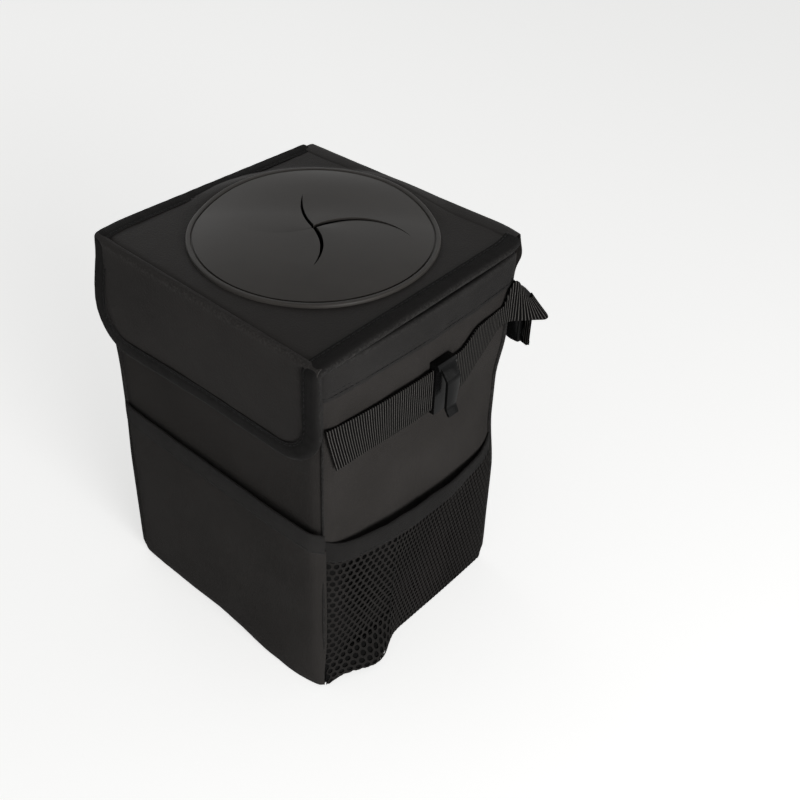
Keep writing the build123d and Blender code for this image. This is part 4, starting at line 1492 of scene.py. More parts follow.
        def shape(u: Array, v: Array) -> Array:
            """Place the band, from its lower edge over the top."""
            at = through([tuple(np.array(p) * scale) for p in profile], v) / scale
            y = self.side.value * (2 * u - 1) * (self.half_length + 0.2 * MM)
            low, high = self.hem_low(y), self.hem_top(y)
            ends = np.clip((1 - np.abs(2 * u - 1)) * 14, 0, 1)
            out = self.stand(y, low + 0.6 * self.hem) + at[:, 0] * (0.35 + 0.65 * ends)
            out += self.band_wave * ripple(u * 9, v * 2, seed=21.0)
            return self.place(y, low + (high - low) * at[:, 1], np.maximum(out, 0.25 * MM))

        flat = (2 * self.half_length, 2 * self.hem)
        band = Piece.sheet(f"{self.side.word}_mesh_band", (110, 24), shape, flat)
        return band.thick(HEM_CLOTH).smooth(TAPE_CREASE)


def filleted(points: Sequence[Sequence[float]], radii: Sequence[float]) -> Array:
    """Round the corners of a plan line.

    Args:
        points: the line's corners.
        radii: a radius for each inner corner.

    Returns:
        The line with arcs at its corners, as close points.
    """
    line = [np.array(points[0], float)]
    for before, corner, after, radius in zip(points, points[1:], points[2:], radii):
        corner = np.array(corner, float)
        back = np.array(before, float) - corner
        ahead = np.array(after, float) - corner
        back /= np.linalg.norm(back)
        ahead /= np.linalg.norm(ahead)
        half = math.acos(float(np.clip(back @ ahead, -1, 1))) / 2
        reach = radius / math.tan(half)
        centre = corner + (back + ahead) / np.linalg.norm(back + ahead) * radius / math.sin(half)
        first = corner + back * reach - centre
        last = corner + ahead * reach - centre
        turn = math.pi - 2 * half
        for share in np.linspace(0, 1, max(6, round(math.degrees(turn) / 6))):
            weight = np.sin((1 - share) * turn) * first + np.sin(share * turn) * last
            line.append(centre + weight / math.sin(turn))
    line.append(np.array(points[-1], float))
    return np.array(line)


@dataclass
class Webbing(SubAssembly):
    """The two straps, sewn along the sides and buckled behind the back."""

    thickness: float = 1.4 * MM  # its thickness
    slack: float = 2.6 * MM  # how far it stands off the side in the middle
    seam: float = 1.8 * MM  # distance of its sewn end from the corner
    lift_off: float = 14 * MM  # distance from the back corner where it leaves the side
    corner_gap: float = 2.8 * MM  # how far beside the back corner it passes
    turn_reach: float = 19 * MM  # how far behind and beside the corner it turns
    buckle_lead: float = 13 * MM  # its run from that turn to the buckle
    buckle_angle: float = 14.0  # the buckle's direction in plan, in degrees
    buckle_span: float = 53.9 * MM  # distance between the bars of the buckle
    wrap_radius: float = 2.35 * MM  # radius of its fold round a bar
    wrap_return: float = 5 * MM  # its run back from the first bar
    flare_radius: float = 14 * MM  # radius of its bend at the right back corner
    turn_radius: float = 4 * MM  # radius of its turns
    left_bulge: float = 4 * MM  # how much further out it passes the left back corner
    left_turn_radius: float = 9 * MM  # radius of its turn behind that corner
    left_bend: float = -45 * MM  # x of its bend behind the back
    loop_depth: float = 38 * MM  # how far behind the back that bend lies
    loop_bend_radius: float = 30 * MM  # radius of that bend and of the next
    straight_lead: float = 28 * MM  # its straight run to the second bar
    free_end: float = 38 * MM  # its free end behind that bar
    rib_height: float = 0.42 * MM  # how far a rib stands out
    step: float = 0.46 * MM  # distance between the rows of its mesh
    climb: float = 9 * MM  # how far it rises between the hook and the back corner
    climb_reach: Pair = (31 * MM, 54 * MM)  # y where that begins and is full
    turn_lift: float = 17 * MM  # how far its turn behind the corner lifts
    lift_reach: Pair = (42 * MM, 86 * MM)  # y where its lower edge begins to lift and is up
    # steps from the corner where its upper edge begins to lift, is up and is down
    lift_steps: tuple[int, int, int] = (-24, -2, 46)
    lean: Pair = (0.45, 1.35)  # how far its turn leans out, at its upper and lower edge
    # steps over which that begins after the corner and ends before the bar
    lean_steps: tuple[int, int] = (12, 14)
    bar_steps: int = 20  # steps before the bar where the strap is level again
    slant: float = 8 * MM  # how far the lower end of its first ribs lies back
    slant_reach: float = 70 * MM  # distance from its sewn end where ribs stand upright
    end_spread: float = 3 * MM  # how much wider its sewn end is
    spread_reach: float = 38 * MM  # distance from that end where it has its own width
    droop: float = 14 * MM  # how far the left strap hangs down behind the back

    def build(self) -> None:
        """Make both straps."""
        for side in Side:
            strap = self.strap(side, self.line(side))
            self.finish(strap, WEBBING).rides(Body.BIN, f"{side.word}_strap")

    def line(self, side: Side) -> Array:
        """Return a strap's centre line in plan, from its sewn front end."""
        form = self.form
        half = self.thickness / 2
        seam = form.half_depth - self.seam
        y = np.linspace(-seam, form.half_depth - self.lift_off, 60)
        crown = form.bow + self.slack
        start = form.side_x(np.array([seam]))[0] + half
        rise = form.half_width + crown + half - start
        x = start + rise * (1 - (y / seam) ** 2)
        turn = np.array([form.half_width + self.turn_reach, form.half_depth + self.turn_reach])
        heading = math.radians(self.buckle_angle)
        along = np.array([-math.cos(heading), math.sin(heading)])
        away = np.array([along[1], -along[0]])
        socket = turn + along * self.buckle_lead - away * self.wrap_radius
        plug = socket + along * self.buckle_span
        wrap = self.wrap_radius
        corner = form.half_width + self.corner_gap
        fold = 0.98 * wrap
        if side is Side.RIGHT:
            corners = [
                (x[-1], y[-1]),
                (corner, seam),
                turn,
                socket + (along + away) * wrap,
                socket + (along - away) * wrap,
                socket - away * wrap - along * self.wrap_return,
            ]
            radii = [self.flare_radius, self.turn_radius, fold, fold]
        else:
            corners = [
                (-x[-1], y[-1]),
                (-corner, seam),
                (-corner - self.left_bulge, turn[1]),
                (self.left_bend, form.half_depth + self.loop_depth),
                plug + along * self.straight_lead + away * wrap,
                plug + (away - along) * wrap,
                plug - (away + along) * wrap,
                plug - away * wrap + along * self.free_end,
            ]
            turns = [self.turn_radius, self.left_turn_radius, self.loop_bend_radius, self.loop_bend_radius]
            radii = [*turns, fold, fold]
        run = stacked(side.value * x, y)[:-1]
        return np.vstack([run, filleted(corners, radii)])

    def strap(self, side: Side, line: Array) -> Piece:
        """Weave a strap along its line.

        Args:
            side: which side the strap is sewn to.
            line: its centre line in plan.

        Returns:
            The ribbed strap.
        """
        form = self.form
        length = length_of(line)
        count = round(length / self.step)
        even = resample(line, count + 1)
        tangent = unit(np.gradient(even, axis=0))
        normal = side.value * stacked(tangent[:, 1], -tangent[:, 0])
        middle = (form.strap_low + form.strap_high) / 2
        width = form.strap_high - form.strap_low
        share = np.linspace(0, 1, count + 1)
        corner = int(np.argmax(even[:, 1] > form.half_depth))
        bar = corner + round((self.turn_reach * 1.4 + self.buckle_lead) / self.step)
        begin, end = self.lean_steps
        free = ease(share, share[corner], share[corner + begin])
        free = free * (1 - ease(share, share[bar - end], share[bar]))
        ahead_of_bar = 1 - ease(share, share[bar - self.bar_steps], share[bar])
        climb = self.climb * ease(even[:, 1], *self.climb_reach)
        first, top, last = (share[corner + steps] for steps in self.lift_steps)
        lift = self.turn_lift * ease(share, first, top) * (1 - 0.95 * ease(share, top, last))
        high = (climb + lift) * ahead_of_bar
        low = (climb + self.turn_lift * ease(even[:, 1], *self.lift_reach)) * ahead_of_bar
        if side is Side.LEFT:
            tail = count - round(1.9 * self.free_end / self.step)
            hung = np.clip((share - share[corner]) / (share[tail] - share[corner]), 0, 1)
            high = low = -self.droop * np.sin(np.pi * hung) ** 2
            free = 0 * free
        run = (share - share[corner]) / (share[bar] - share[corner])
        chord = even[corner] + (even[bar] - even[corner]) * run[:, None]
        columns = (*even.T, *normal.T, *chord.T, free, low, high)

        def shape(u: Array, v: Array) -> Array:
            """Place the strap's outer face, with its ribs and rolled edges."""
            woven = u if side is Side.RIGHT else 1 - u
            slant = self.slant * (1 - v) ** 1.3 * (1 - ease(woven * length, 0, self.slant_reach))
            travel = woven + slant / length
            read = [np.interp(travel, share, column) for column in columns]
            point, out, straight = (np.stack(read[k : k + 2], axis=1) for k in (0, 2, 4))
            across = 2 * v - 1
            lean = self.lean[1] + (self.lean[0] - self.lean[1]) * v
            point += (point - straight) * (read[6] * (lean - 1))[:, None]
            edge = 1 - np.clip(np.abs(across), 0, 1) ** 10
            rib = self.rib_height * (np.abs(np.sin(np.pi * woven * length / WEBBING.ribs)) - 0.5) * edge
            stand = 0.42 * self.thickness * (0.7 + 0.3 * edge) + rib
            place = point + out * stand[:, None]
            spread = self.end_spread * (1 - ease(travel * length, 0, self.spread_reach))
            spread *= np.clip(-across, 0, 1)
            rise = read[7] + (read[8] - read[7]) * v
            return np.column_stack([place, middle + across * width / 2 + rise - spread])

        strap = Piece.sheet(f"{side.word}_webbing", (count, 16), shape, (length, width))
        return strap.thick(0.84 * self.thickness).smooth(TAPE_CREASE)


@dataclass(frozen=True)
class Slit:
    """One arm of the slit."""

    heading: float  # its direction at the middle, in degrees
    radius: float  # radius of its curve
    reach: float  # how far it reaches from the middle
    width: float  # how wide it opens
    drop: float  # how far one lip drops
    run_out: float = 6 * MM  # how far beyond its reach the petals' edge follows its curve

    def gap(self, r: Array) -> Array:
        """Return how wide the slit stands open at a radius."""
        return self.width * np.clip(1 - (r / self.reach) ** 2, 0, 1) ** 0.7

    def angle(self, r: Array) -> Array:
        """Return its direction from the middle at a radius."""
        arm = np.minimum(r, self.reach + self.run_out)
        return math.radians(self.heading) - np.arcsin(arm / (2 * self.radius))


@dataclass
class RubberInsert(SubAssembly):
    """The rubber disc in the lid: a beaded rim, a groove and a dome of four petals between curved slits."""

    flange: float = 3.4 * MM  # width of the rim
    groove: float = 1.0 * MM  # width of the groove inside the rim
    groove_depth: float = 1.1 * MM  # depth of that groove
    bead: float = 2.4 * MM  # height of the rim above the lid
    lift: float = 2.2 * MM  # height of the dome's edge above the lid
    rise: float = 5.2 * MM  # height of the dome's crown above its edge
    membrane: float = 1.7 * MM  # thickness of the dome
    # the arms, anticlockwise from the one that points back
    slits: tuple[Slit, ...] = (
        Slit(90.0, 40 * MM, 63 * MM, 3.6 * MM, 1.0 * MM),
        Slit(163.0, 70 * MM, 43 * MM, 2.6 * MM, 0.5 * MM),
        Slit(259.0, 40 * MM, 57 * MM, 0.3 * MM, 0.4 * MM),
        Slit(340.0, 52 * MM, 45 * MM, 2.8 * MM, 0.5 * MM),
    )
    lip: float = 4.6 * MM  # how far the lip under the lid reaches beyond the rim's neck
    lip_height: float = 1.0 * MM  # height of that lip
    crown: float = 1.1 * MM  # radius of the rim's rounded edges
    least_angle: float = 0.12  # least angle of a petal, in radians
    least_arm: float = 1.5 * MM  # least radius at which a gap is turned into an angle
    drop_reach: float = 16 * MM  # radius where the drop of a lip is full
    collar: float = 1.5 * MM  # thickness of the collar between the lip and the rim

    def neck(self) -> float:
        """Return the inner radius of the rim."""
        return self.form.disc_radius - self.flange

    def height(self, r: Array) -> Array:
        """Return the height of the insert's top face at a radius."""
        form = self.form
        neck = self.neck()
        edge = neck - self.groove
        dome = form.lid_high + self.lift + self.rise * (1 - np.minimum(r / edge, 1) ** 2.6)
        trench = form.lid_high + self.lift - self.groove_depth
        crown = self.crown
        inner = np.sqrt(np.clip(1 - np.clip((neck + crown - r) / crown, 0, 1) ** 2, 0, 1))
        outer = np.sqrt(np.clip(1 - np.clip((r - form.disc_radius + crown) / crown, 0, 1) ** 2, 0, 1))
        top = form.lid_high + self.bead
        rim = top - crown * (1 - inner) - crown * (1 - outer)
        height = np.where(r <= edge, dome, np.where(r < neck, trench, rim))
        return np.where(r >= form.disc_radius - 1e-6, form.lid_high - 0.2 * MM, height)

    def rings(self) -> Array:
        """Return the radii of the rings that the disc is drawn with."""
        neck = self.neck()
        edge = neck - self.groove
        return np.concatenate(
            [
                np.linspace(1.8 * MM, edge, 60),
                [edge + 0.15 * MM, neck - 0.1 * MM, neck + 0.02 * MM, neck + 0.3 * MM],
                np.linspace(neck + 0.7 * MM, self.form.disc_radius - 1.2 * MM, 6),
                self.form.disc_radius - np.array([0.8, 0.4, 0.1, 0.0]) * MM,
            ]
        )

    def petal(self, index: int) -> Piece:
        """Shape one petal with its share of the rim.

        Args:
            index: which petal it is.

        Returns:
            The petal as a sheet.
        """
        form = self.form
        rings = self.rings()
        first, last = self.slits[index], self.slits[(index + 1) % len(self.slits)]
        wrap = FULL_TURN if last.heading < first.heading else 0.0

        def shape(u: Array, v: Array) -> Array:
            """Place the petal between its two slits."""
            r = rings[np.rint(v * (len(rings) - 1)).astype(int)]
            arm = np.maximum(r, self.least_arm)
            low = first.angle(r) + first.gap(r) / arm / 2
            high = np.maximum(wrap + last.angle(r) - last.gap(r) / arm / 2, low + self.least_angle)
            share = 1 - u
            angle = low + (high - low) * share
            z = self.height(r)
            free = np.clip(1 - (r / last.reach) ** 2, 0, 1) * ease(r, 0, self.drop_reach)
            z -= last.drop * free * share**3
            return form.lifted(stacked(r * np.cos(angle), form.disc_y + r * np.sin(angle), z))

        cells = (44, len(rings) - 1)
        return Piece.sheet(f"petal_{index}", cells, shape, (form.disc_radius, form.disc_radius))

    def build(self) -> None:
        """Join the petals into one disc and add the lip under the lid."""
        petals = [self.petal(index) for index in range(len(self.slits))]
        disc = petals[0].joined(*petals[1:])
        disc.obj.name = "rubber_insert"
        disc.closed(0.01 * MM).thick(self.membrane, even=False)
        disc.joined(self.under_lip()).flat_uv(0, 1)
        self.finish(disc.smooth(BOARD_CREASE), SOFT_RUBBER).rides(Body.LID, "slit_insert")

    def under_lip(self) -> Piece:
        """Turn the lip that holds the insert under the lid.

        Returns:
            The lip, a closed ring.
        """
        form = self.form
        low = form.lid_low - self.lip_height
        round_edge = 0.4 * MM
        neck = self.neck()
        lip_edge = neck + self.lip
        profile = [
            (neck, form.lid_high), (neck, low + round_edge), (neck + round_edge, low),
            (lip_edge - round_edge, low), (lip_edge, low + round_edge), (lip_edge, form.lid_low),
            (neck + self.collar, form.lid_low), (neck + self.collar, form.lid_high),
        ]
        lip = Piece.added("insert_lip", bpy.ops.mesh.primitive_plane_add, size=1 * MM)
        middle = (0.0, form.disc_y, 0.0)
        corners = [(r, form.disc_y, z) for r, z in profile]
        start = Vector(corners[0])
        steps = [
            lambda: bpy.ops.mesh.merge(type="CENTER"),
            lambda: bpy.ops.transform.translate(value=start),
        ]
        for before, after in zip(corners, corners[1:] + corners[:1]):
            move = {"value": tuple(Vector(after) - Vector(before))}
            steps.append(lambda move=move: bpy.ops.mesh.extrude_region_move(TRANSFORM_OT_translate=move))
        steps += [
            lambda: bpy.ops.mesh.select_all(action="SELECT"),
            lambda: bpy.ops.mesh.spin(steps=128, angle=FULL_TURN, center=middle, axis=(0, 0, 1)),
            lambda: bpy.ops.mesh.select_all(action="SELECT"),
            lambda: bpy.ops.mesh.remove_doubles(threshold=0.02 * MM),
        ]
        lip.edit(*steps)
        lip.move(form.lifted(lip.points()))
        return lip.facing_out()


@dataclass
class Lid(SubAssembly):
    """The lid's cloth top, its lining and the cloth hinge behind it."""

    rebate: float = 2.8 * MM  # how far the cloth reaches under the rim of the rubber insert
    cloth: float = 0.9 * MM  # thickness of the top cloth
    seam: float = 1.7 * MM  # distance of the seam on the lid's top from its front edge
    back_corner: float = 12 * MM  # radius of the back corners
    wave: float = 0.35 * MM  # depth of the ripples
    seam_dip: float = 0.8 * MM  # how far the cloth dips at its front seam
    seam_width: float = 1.2 * MM  # how broad that dip is
    side_inset: float = 0.3 * MM  # distance of the layers from the bound sides
    hinge_inset: float = 5 * MM  # distance of the hinge cloth's ends from the lid's sides
    hinge_reach: float = 2.9 * MM  # how far it stands off the hinge's axis
    hinge_length: float = 48 * MM  # its length from the wall to the lid
    hinge_cloth: float = 0.6 * MM  # its thickness
    hinge_wave: float = 0.25 * MM  # depth of its ripples
    hinge_free: float = 8 * MM  # distance below the rim where it begins to follow the lid

    def plate(self, name: str, height: float, facing: int, depth: float) -> Piece:
        """Make a flat layer with the round hole.

        Args:
            name: the piece's name.
            height: where its visible face lies.
            facing: 1 to face up, -1 to face down.
            depth: its thickness.

        Returns:
            The layer.
        """
        form = self.form
        half = form.lid_half_width - self.side_inset
        seam = form.lid_front + self.seam
        hole = form.disc_radius - self.rebate
        middle = np.array([0.0, form.disc_y])
        loop = Loop((-half, seam), (half, form.lid_axis), self.back_corner)

        def shape(u: Array, v: Array) -> Array:
            """Place the layer between the hole and its outline."""
            edge, _ = loop.at(u if facing < 0 else 1 - u)
            angle = np.arctan2(edge[:, 1] - form.disc_y, edge[:, 0])
            inner = middle + hole * stacked(np.cos(angle), np.sin(angle))
            place = inner + (edge - inner) * v[:, None]
            waves = ripple(place[:, 0] * 18, place[:, 1] * 18, seed=40.0 + facing)
            z = height + facing * self.wave * waves
            z += facing * self.wave * np.sin(np.pi * v)
            z -= self.seam_dip * bump(place[:, 1], seam, self.seam_width) * (facing > 0)
            return form.lifted(stacked(place[:, 0], place[:, 1], z))

        piece = Piece.sheet(name, (260, 24), shape, (1.0, 1.0))
        return piece.closed().flat_uv(0, 1).thick(depth).smooth(BOARD_CREASE)

    def build(self) -> None:
        """Make the lid's cloth, lining and hinge."""
        form = self.form
        top = self.plate("lid_top_cloth", form.lid_high, 1, self.cloth)
        self.finish(top, COATED_CLOTH).rides(Body.LID, "lid_cover")
        inside = form.lid_high - self.cloth
        board = self.plate("lid_stiffener", inside, 1, inside - form.lid_low - self.cloth)
        self.finish(board, STIFF_BOARD).rides(Body.LID, "lid_board")
        under = self.plate("lid_under_lining", form.lid_low, -1, self.cloth)
        self.finish(under, LINING_FILM).rides(Body.LID, "lid_lining")
        half = form.lid_half_width - self.hinge_inset
        axis_y, axis_z = form.lid_axis, form.lid_middle
        reach = self.hinge_reach
        profile = [
            (form.half_depth + 1.6 * MM, form.height - 24 * MM),
            (form.half_depth + 1.9 * MM, form.height - 12 * MM), (axis_y + 0.5 * MM, axis_z - 5.0 * MM),
            (axis_y + reach, axis_z - 1.0 * MM), (axis_y + 0.7 * reach, axis_z + 1.9 * MM),
            (axis_y - 1.5 * MM, axis_z + reach), (axis_y - 9 * MM, axis_z + reach - 0.2 * MM),
            (axis_y - 12 * MM, form.lid_high - 0.1 * MM),
        ]

        def hinge(u: Array, v: Array) -> Array:
            """Place the hinge cloth from the back wall over the lid's edge."""
            at = through(profile, v)
            x = -(2 * u - 1) * half
            y = at[:, 0] + self.hinge_wave * ripple(u * 11, v * 3, seed=51.0)
            places = stacked(x, y, at[:, 1])
            lid = ease(at[:, 1], form.height - self.hinge_free, axis_z)[:, None]
            return form.settled(places) * (1 - lid) + form.lifted(places) * lid

        cloth = Piece.sheet("lid_hinge_cloth", (90, 44), hinge, (2 * half, self.hinge_length))
        self.finish(cloth.thick(self.hinge_cloth).smooth(TAPE_CREASE), COATED_CLOTH)
        start = (0.0, axis_y + reach, axis_z - 4.2 * MM)
        end = (0.0, axis_y - 1.5 * MM, axis_z + reach)
        cloth.bends((Body.BIN, Body.LID), np.array(start), np.array(end))


@dataclass
class Flap(SubAssembly):
    """The flap's cloth, lining and the bound edge that it shares with the lid."""

    corner: float = 34 * MM  # radius of the lower corners
    cloth: float = 0.9 * MM  # thickness of the cloth
    seam: float = 1.3 * MM  # distance of the seam on the lid's top from its front edge
    fold: float = 3.4 * MM  # radius of the fold at the top
    tape_width: float = 12.5 * MM  # how far the binding covers each face
    tape: float = 0.85 * MM  # thickness of the binding
    back_end: float = 5 * MM  # distance of the binding's ends from the lid's back edge
    curl: float = 4 * MM  # how far the lower left corner stands out
    seam_dip: float = 0.9 * MM  # how far the cloth dips at that seam
    belly: float = 0.8 * MM  # how far its middle stands out
    wave: float = 0.4 * MM  # depth of its ripples
    length: float = 92 * MM  # length of its cloth, from the lower edge to the seam
    lining_length: float = 84 * MM  # length of its lining and of its board
    lining_wave: float = 0.2 * MM  # depth of the ripples in its lining
    film: float = 0.6 * MM  # thickness of its lining
    board: float = 1.5 * MM  # thickness of its board
    edge_turn: float = 3.6 * MM  # radius of the bound edge's turn from the lid to the flap
    edge_step: float = 1.6 * MM  # distance between the places of the bound edge
    tape_wave: float = 0.22 * MM  # depth of the ripples in the binding
    worn_fold: float = 2.5 * MM  # how broad the worn stretch of its fold is
    worn_edge: float = 1.2 * MM  # how broad the worn stretch of the binding is

    def half_at(self, z: Array) -> Array:
        """Return half the flap's width at a height."""
        below = np.clip(self.form.flap_low + self.corner - z, 0, self.corner)
        return self.form.flap_half_width - self.corner + np.sqrt(self.corner**2 - below**2)

    def hung(self, places: Array) -> Array:
        """Lift the flap with the lid's front edge and curl its left corner out."""
        form = self.form
        x, _, z = places.T
        lower = 1 - ease(z, form.flap_low, form.lid_low)
        lifted = form.lifted(places)
        lifted[:, 1] -= self.curl * lower * ease(-x, 0, form.flap_half_width)
        return lifted

    def bend_ends(self) -> tuple[Array, Array]:
        """Return where the bend from lid to flap begins and ends."""
        form = self.form
        start = np.array([0.0, form.flap_axis + 3.0 * MM, form.lid_high + 0.4 * MM])
        end = np.array([0.0, form.flap_front - 0.2 * MM, form.lid_middle - 4.0 * MM])
        return start, end

    def build(self) -> None:
        """Make the flap's cloth, lining and binding."""
        form = self.form
        start, end = self.bend_ends()
        face = Piece.sheet("flap_cloth", (100, 110), self.outer(), (2 * form.flap_half_width, self.length))
        height = face.points()[:, 2]
        face.worn(0.5 * bump(height, form.lid_high, self.worn_fold))
        face.flat_uv(0, 2).thick(self.cloth).smooth(TAPE_CREASE)
        self.finish(face, COATED_CLOTH)
        face.bends((Body.LID, Body.FLAP), start, end, "flap_cover")
        size = (2 * form.flap_half_width, self.lining_length)
        lining = Piece.sheet("flap_inner_lining", (80, 60), self.inner(0.0), size)
        self.finish(lining.thick(self.film).smooth(TAPE_CREASE), LINING_FILM)
        lining.rides(Body.FLAP, "flap_lining")
        board = Piece.sheet("flap_stiffener", (40, 40), self.inner(self.cloth), size)
        self.finish(board.thick(self.board).smooth(TAPE_CREASE), STIFF_BOARD)
        board.rides(Body.FLAP, "flap_board")
        route = self.edge()
        tape = self.binding(route)
        self.finish(tape, BINDING_TAPE)
        tape.bends((Body.LID, Body.FLAP), start, end, "lid_binding", "flap_binding")
        half = (form.lid_high - form.lid_low) / 2 + self.tape
        inner = -self.tape_width + SEAM_INSET
        under = route.moved(inner, -half)
        rows = [route.moved(inner, half), Route(under.points, under.out, -under.up)]
        self.sewn("edge_stitches", rows).bends((Body.LID, Body.FLAP), start, end)

    def outer(self) -> Surface:
        """Return the shape of the flap's outer cloth, from its lower edge over the fold to the seam."""
        form = self.form
        flat_top = form.lid_high + 0.35 * MM
        turn = self.fold
        straight = flat_top - turn - form.flap_low - self.corner
        rows = (0.36, 0.82, 0.93)

        def shape(u: Array, v: Array) -> Array:
            """Place the flap's cloth."""
            arc = np.clip(v / rows[0], 0, 1) * math.pi / 2
            z = form.flap_low + self.corner * (1 - np.cos(arc))
            z += straight * np.clip((v - rows[0]) / (rows[1] - rows[0]), 0, 1)
            bend = np.clip((v - rows[1]) / (rows[2] - rows[1]), 0, 1) * math.pi / 2
            z += turn * np.sin(bend)
            flat = np.clip((v - rows[2]) / (1 - rows[2]), 0, 1)
            top = form.lid_front + self.seam - form.flap_front - turn
            y = form.flap_front + turn * (1 - np.cos(bend)) + flat * top
            z -= self.seam_dip * bump(flat, 1.0, 0.3) * (flat > 0)
            half = self.half_at(z)
            share = 2 * u - 1
            hang = ease(z, form.flap_low, form.lid_middle)
            belly = self.belly * (1 - share**2) * np.sin(np.pi * np.clip(v / rows[1], 0, 1))
            waves = self.wave * ripple(share * 3, z * 30, seed=17.0) * (1 - 0.6 * hang)
            y -= np.where(flat > 0, 0, belly + waves)
            return self.hung(stacked(share * half, y, z))

        return shape

    def inner(self, inset: float) -> Surface:
        """Return the shape of the flap's lining, or of the board an inset inside it."""
        form = self.form
        top = form.lid_middle - 2 * MM
        rows = 0.4

        def shape(u: Array, v: Array) -> Array:
            """Place the flap's lining."""
            arc = np.clip(v / rows, 0, 1) * math.pi / 2
            z = form.flap_low + self.corner * (1 - np.cos(arc))
            z += (top - form.flap_low - self.corner) * np.clip((v - rows) / (1 - rows), 0, 1)
            half = self.half_at(z) - 1.5 * inset
            share = 1 - 2 * u
            y = form.flap_back - inset - self.lining_wave * ripple(share * 4, z * 40, seed=23.0)
            return self.hung(stacked(share * half, y, z))

        return shape

    def edge(self) -> Route:
        """Return the bound edge, from the lid's left back corner round the flap to its right one."""
        form = self.form
        lid_x, flap_x = form.lid_half_width, form.flap_half_width
        turn = self.edge_turn
        front, middle = form.flap_axis, form.lid_middle
        points, out, up = [], [], []

        def put(point: Sequence[float], across: Sequence[float], away: Sequence[float]) -> None:
            """Add one place of the edge."""
            points.append(point)
            out.append(across)
            up.append(away)

        back = form.lid_axis - self.back_end
        for y in np.linspace(back, front + turn, 30):
            put((-lid_x, y, middle), (-1, 0, 0), (0, 0, 1))
        for angle in np.linspace(0, math.pi / 2, 10)[1:]:
            y = front + turn * (1 - math.sin(angle))
            z = middle - turn * (1 - math.cos(angle))
            x = lid_x + (flap_x - lid_x) * angle / (math.pi / 2)
            put((-x, y, z), (-1, 0, 0), (0, -math.sin(angle), math.cos(angle)))
        foot = form.flap_low + self.corner
        for z in np.linspace(middle - turn, foot, 14)[1:]:
            put((-flap_x, front, z), (-1, 0, 0), (0, -1, 0))
        for angle in np.linspace(0, math.pi / 2, 18)[1:]:
            across = (-math.cos(angle), 0, -math.sin(angle))
            x = -flap_x + self.corner + self.corner * across[0]
            put((x, front, foot + self.corner * across[2]), across, (0, -1, 0))
        put((0, front, form.flap_low), (0, 0, -1), (0, -1, 0))
        mirror = np.array([-1, 1, 1])
        halves = [np.array(rows, float) for rows in (points, out, up)]
        whole = [np.vstack([rows, rows[-2::-1] * mirror]) for rows in halves]
        whole[0] = self.hung(whole[0])
        return Route(*whole).spaced(self.edge_step)

    def binding(self, route: Route) -> Piece:
        """Fold the binding tape round the bound edge.

        Args:
            route: the edge, in the middle of the lid and flap.

        Returns:
            The binding.
        """
        form = self.form
        half = (form.lid_high - form.lid_low) / 2
        face = half + self.tape
        profile = [
            (-self.tape_width, half - 0.1 * MM), (-self.tape_width + 0.5 * MM, face),
            (-self.tape_width + SEAM_INSET, face - 0.25 * MM), (-self.tape_width + 5 * MM, face + 0.25 * MM),
            (-2.0 * MM, face + 0.2 * MM), (0.5 * self.tape, 0.55 * face), (self.tape, 0.0),
            (0.5 * self.tape, -0.55 * face), (-2.0 * MM, -face),
            (-self.tape_width + SEAM_INSET, -face + 0.25 * MM), (-self.tape_width, -half + 0.1 * MM),
        ]
        count = len(route.points) - 1

        def shape(u: Array, v: Array) -> Array:
            """Place the tape, from its edge on the outer face round to the inner face."""
            index = np.rint(u * count).astype(int)
            at = through(profile, 1 - v)
            waves = self.tape_wave * ripple(u * 90, v * 3, seed=61.0)
            out = at[:, :1] * route.out[index]
            up = (at[:, 1] + waves * np.sign(at[:, 1]))[:, None] * route.up[index]
            return route.points[index] + out + up

        tape = Piece.sheet("edge_binding", (count, 30), shape, (route.length, 2 * self.tape_width))
        share = tape.points()
        tape.worn(0.5 * bump(np.abs(share[:, 0]), form.lid_half_width + self.tape, self.worn_edge))
        return tape.thick(0.5 * self.tape).smooth(TAPE_CREASE)


@dataclass
class Closure(SubAssembly):
    """The hook and loop tapes that hold the flap shut."""

    pile: float = 0.5 * MM  # how far the loops' fuzz stands out
    hooks: float = 0.3 * MM  # how far the stiff hooks stand out
    rolled: float = 2.2 * MM  # how far in from its edges a tape is rolled down

    def tape(self, node: str, name: str, facing: int, body: Body, fuzz: float) -> None:
        """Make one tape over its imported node.

        Args:
            node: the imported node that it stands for.
            name: the piece's name.
            facing: 1 where its rough face looks back, -1 where it looks forward.
            body: what it rides on.
            fuzz: how far its rough face stands out.
        """
        low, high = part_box(node)
        size = high - low
        face = high.y if facing > 0 else low.y

        def shape(u: Array, v: Array) -> Array:
            """Place the tape's rough face, rolled down at its edges."""
            x = low.x + size.x * (u if facing < 0 else 1 - u)
            z = low.z + size.z * v
            border = np.minimum(np.minimum(u, 1 - u) * size.x, np.minimum(v, 1 - v) * size.z)
            edge = ease(border, 0.0, self.rolled)
            rough = fuzz * ripple(u * 130, v * 30, seed=71.0, octaves=2) * edge
            y = face - facing * (0.5 * size.y * (1 - edge) - 0.5 * rough + 0.5 * fuzz)
            return stacked(x, y, z)

        piece = Piece.sheet(name, (150, 36), shape, (size.x, size.z))
        self.finish(piece.thick(0.45 * size.y).smooth(TAPE_CREASE), CLOSURE_TAPE)
        piece.rides(body, node)

    def build(self) -> None:
        """Make both tapes."""
        self.tape("front_loop_tape", "soft_loop_tape", -1, Body.BIN, self.pile)
        self.tape("flap_hook_tape", "stiff_hook_tape", 1, Body.FLAP, self.hooks)


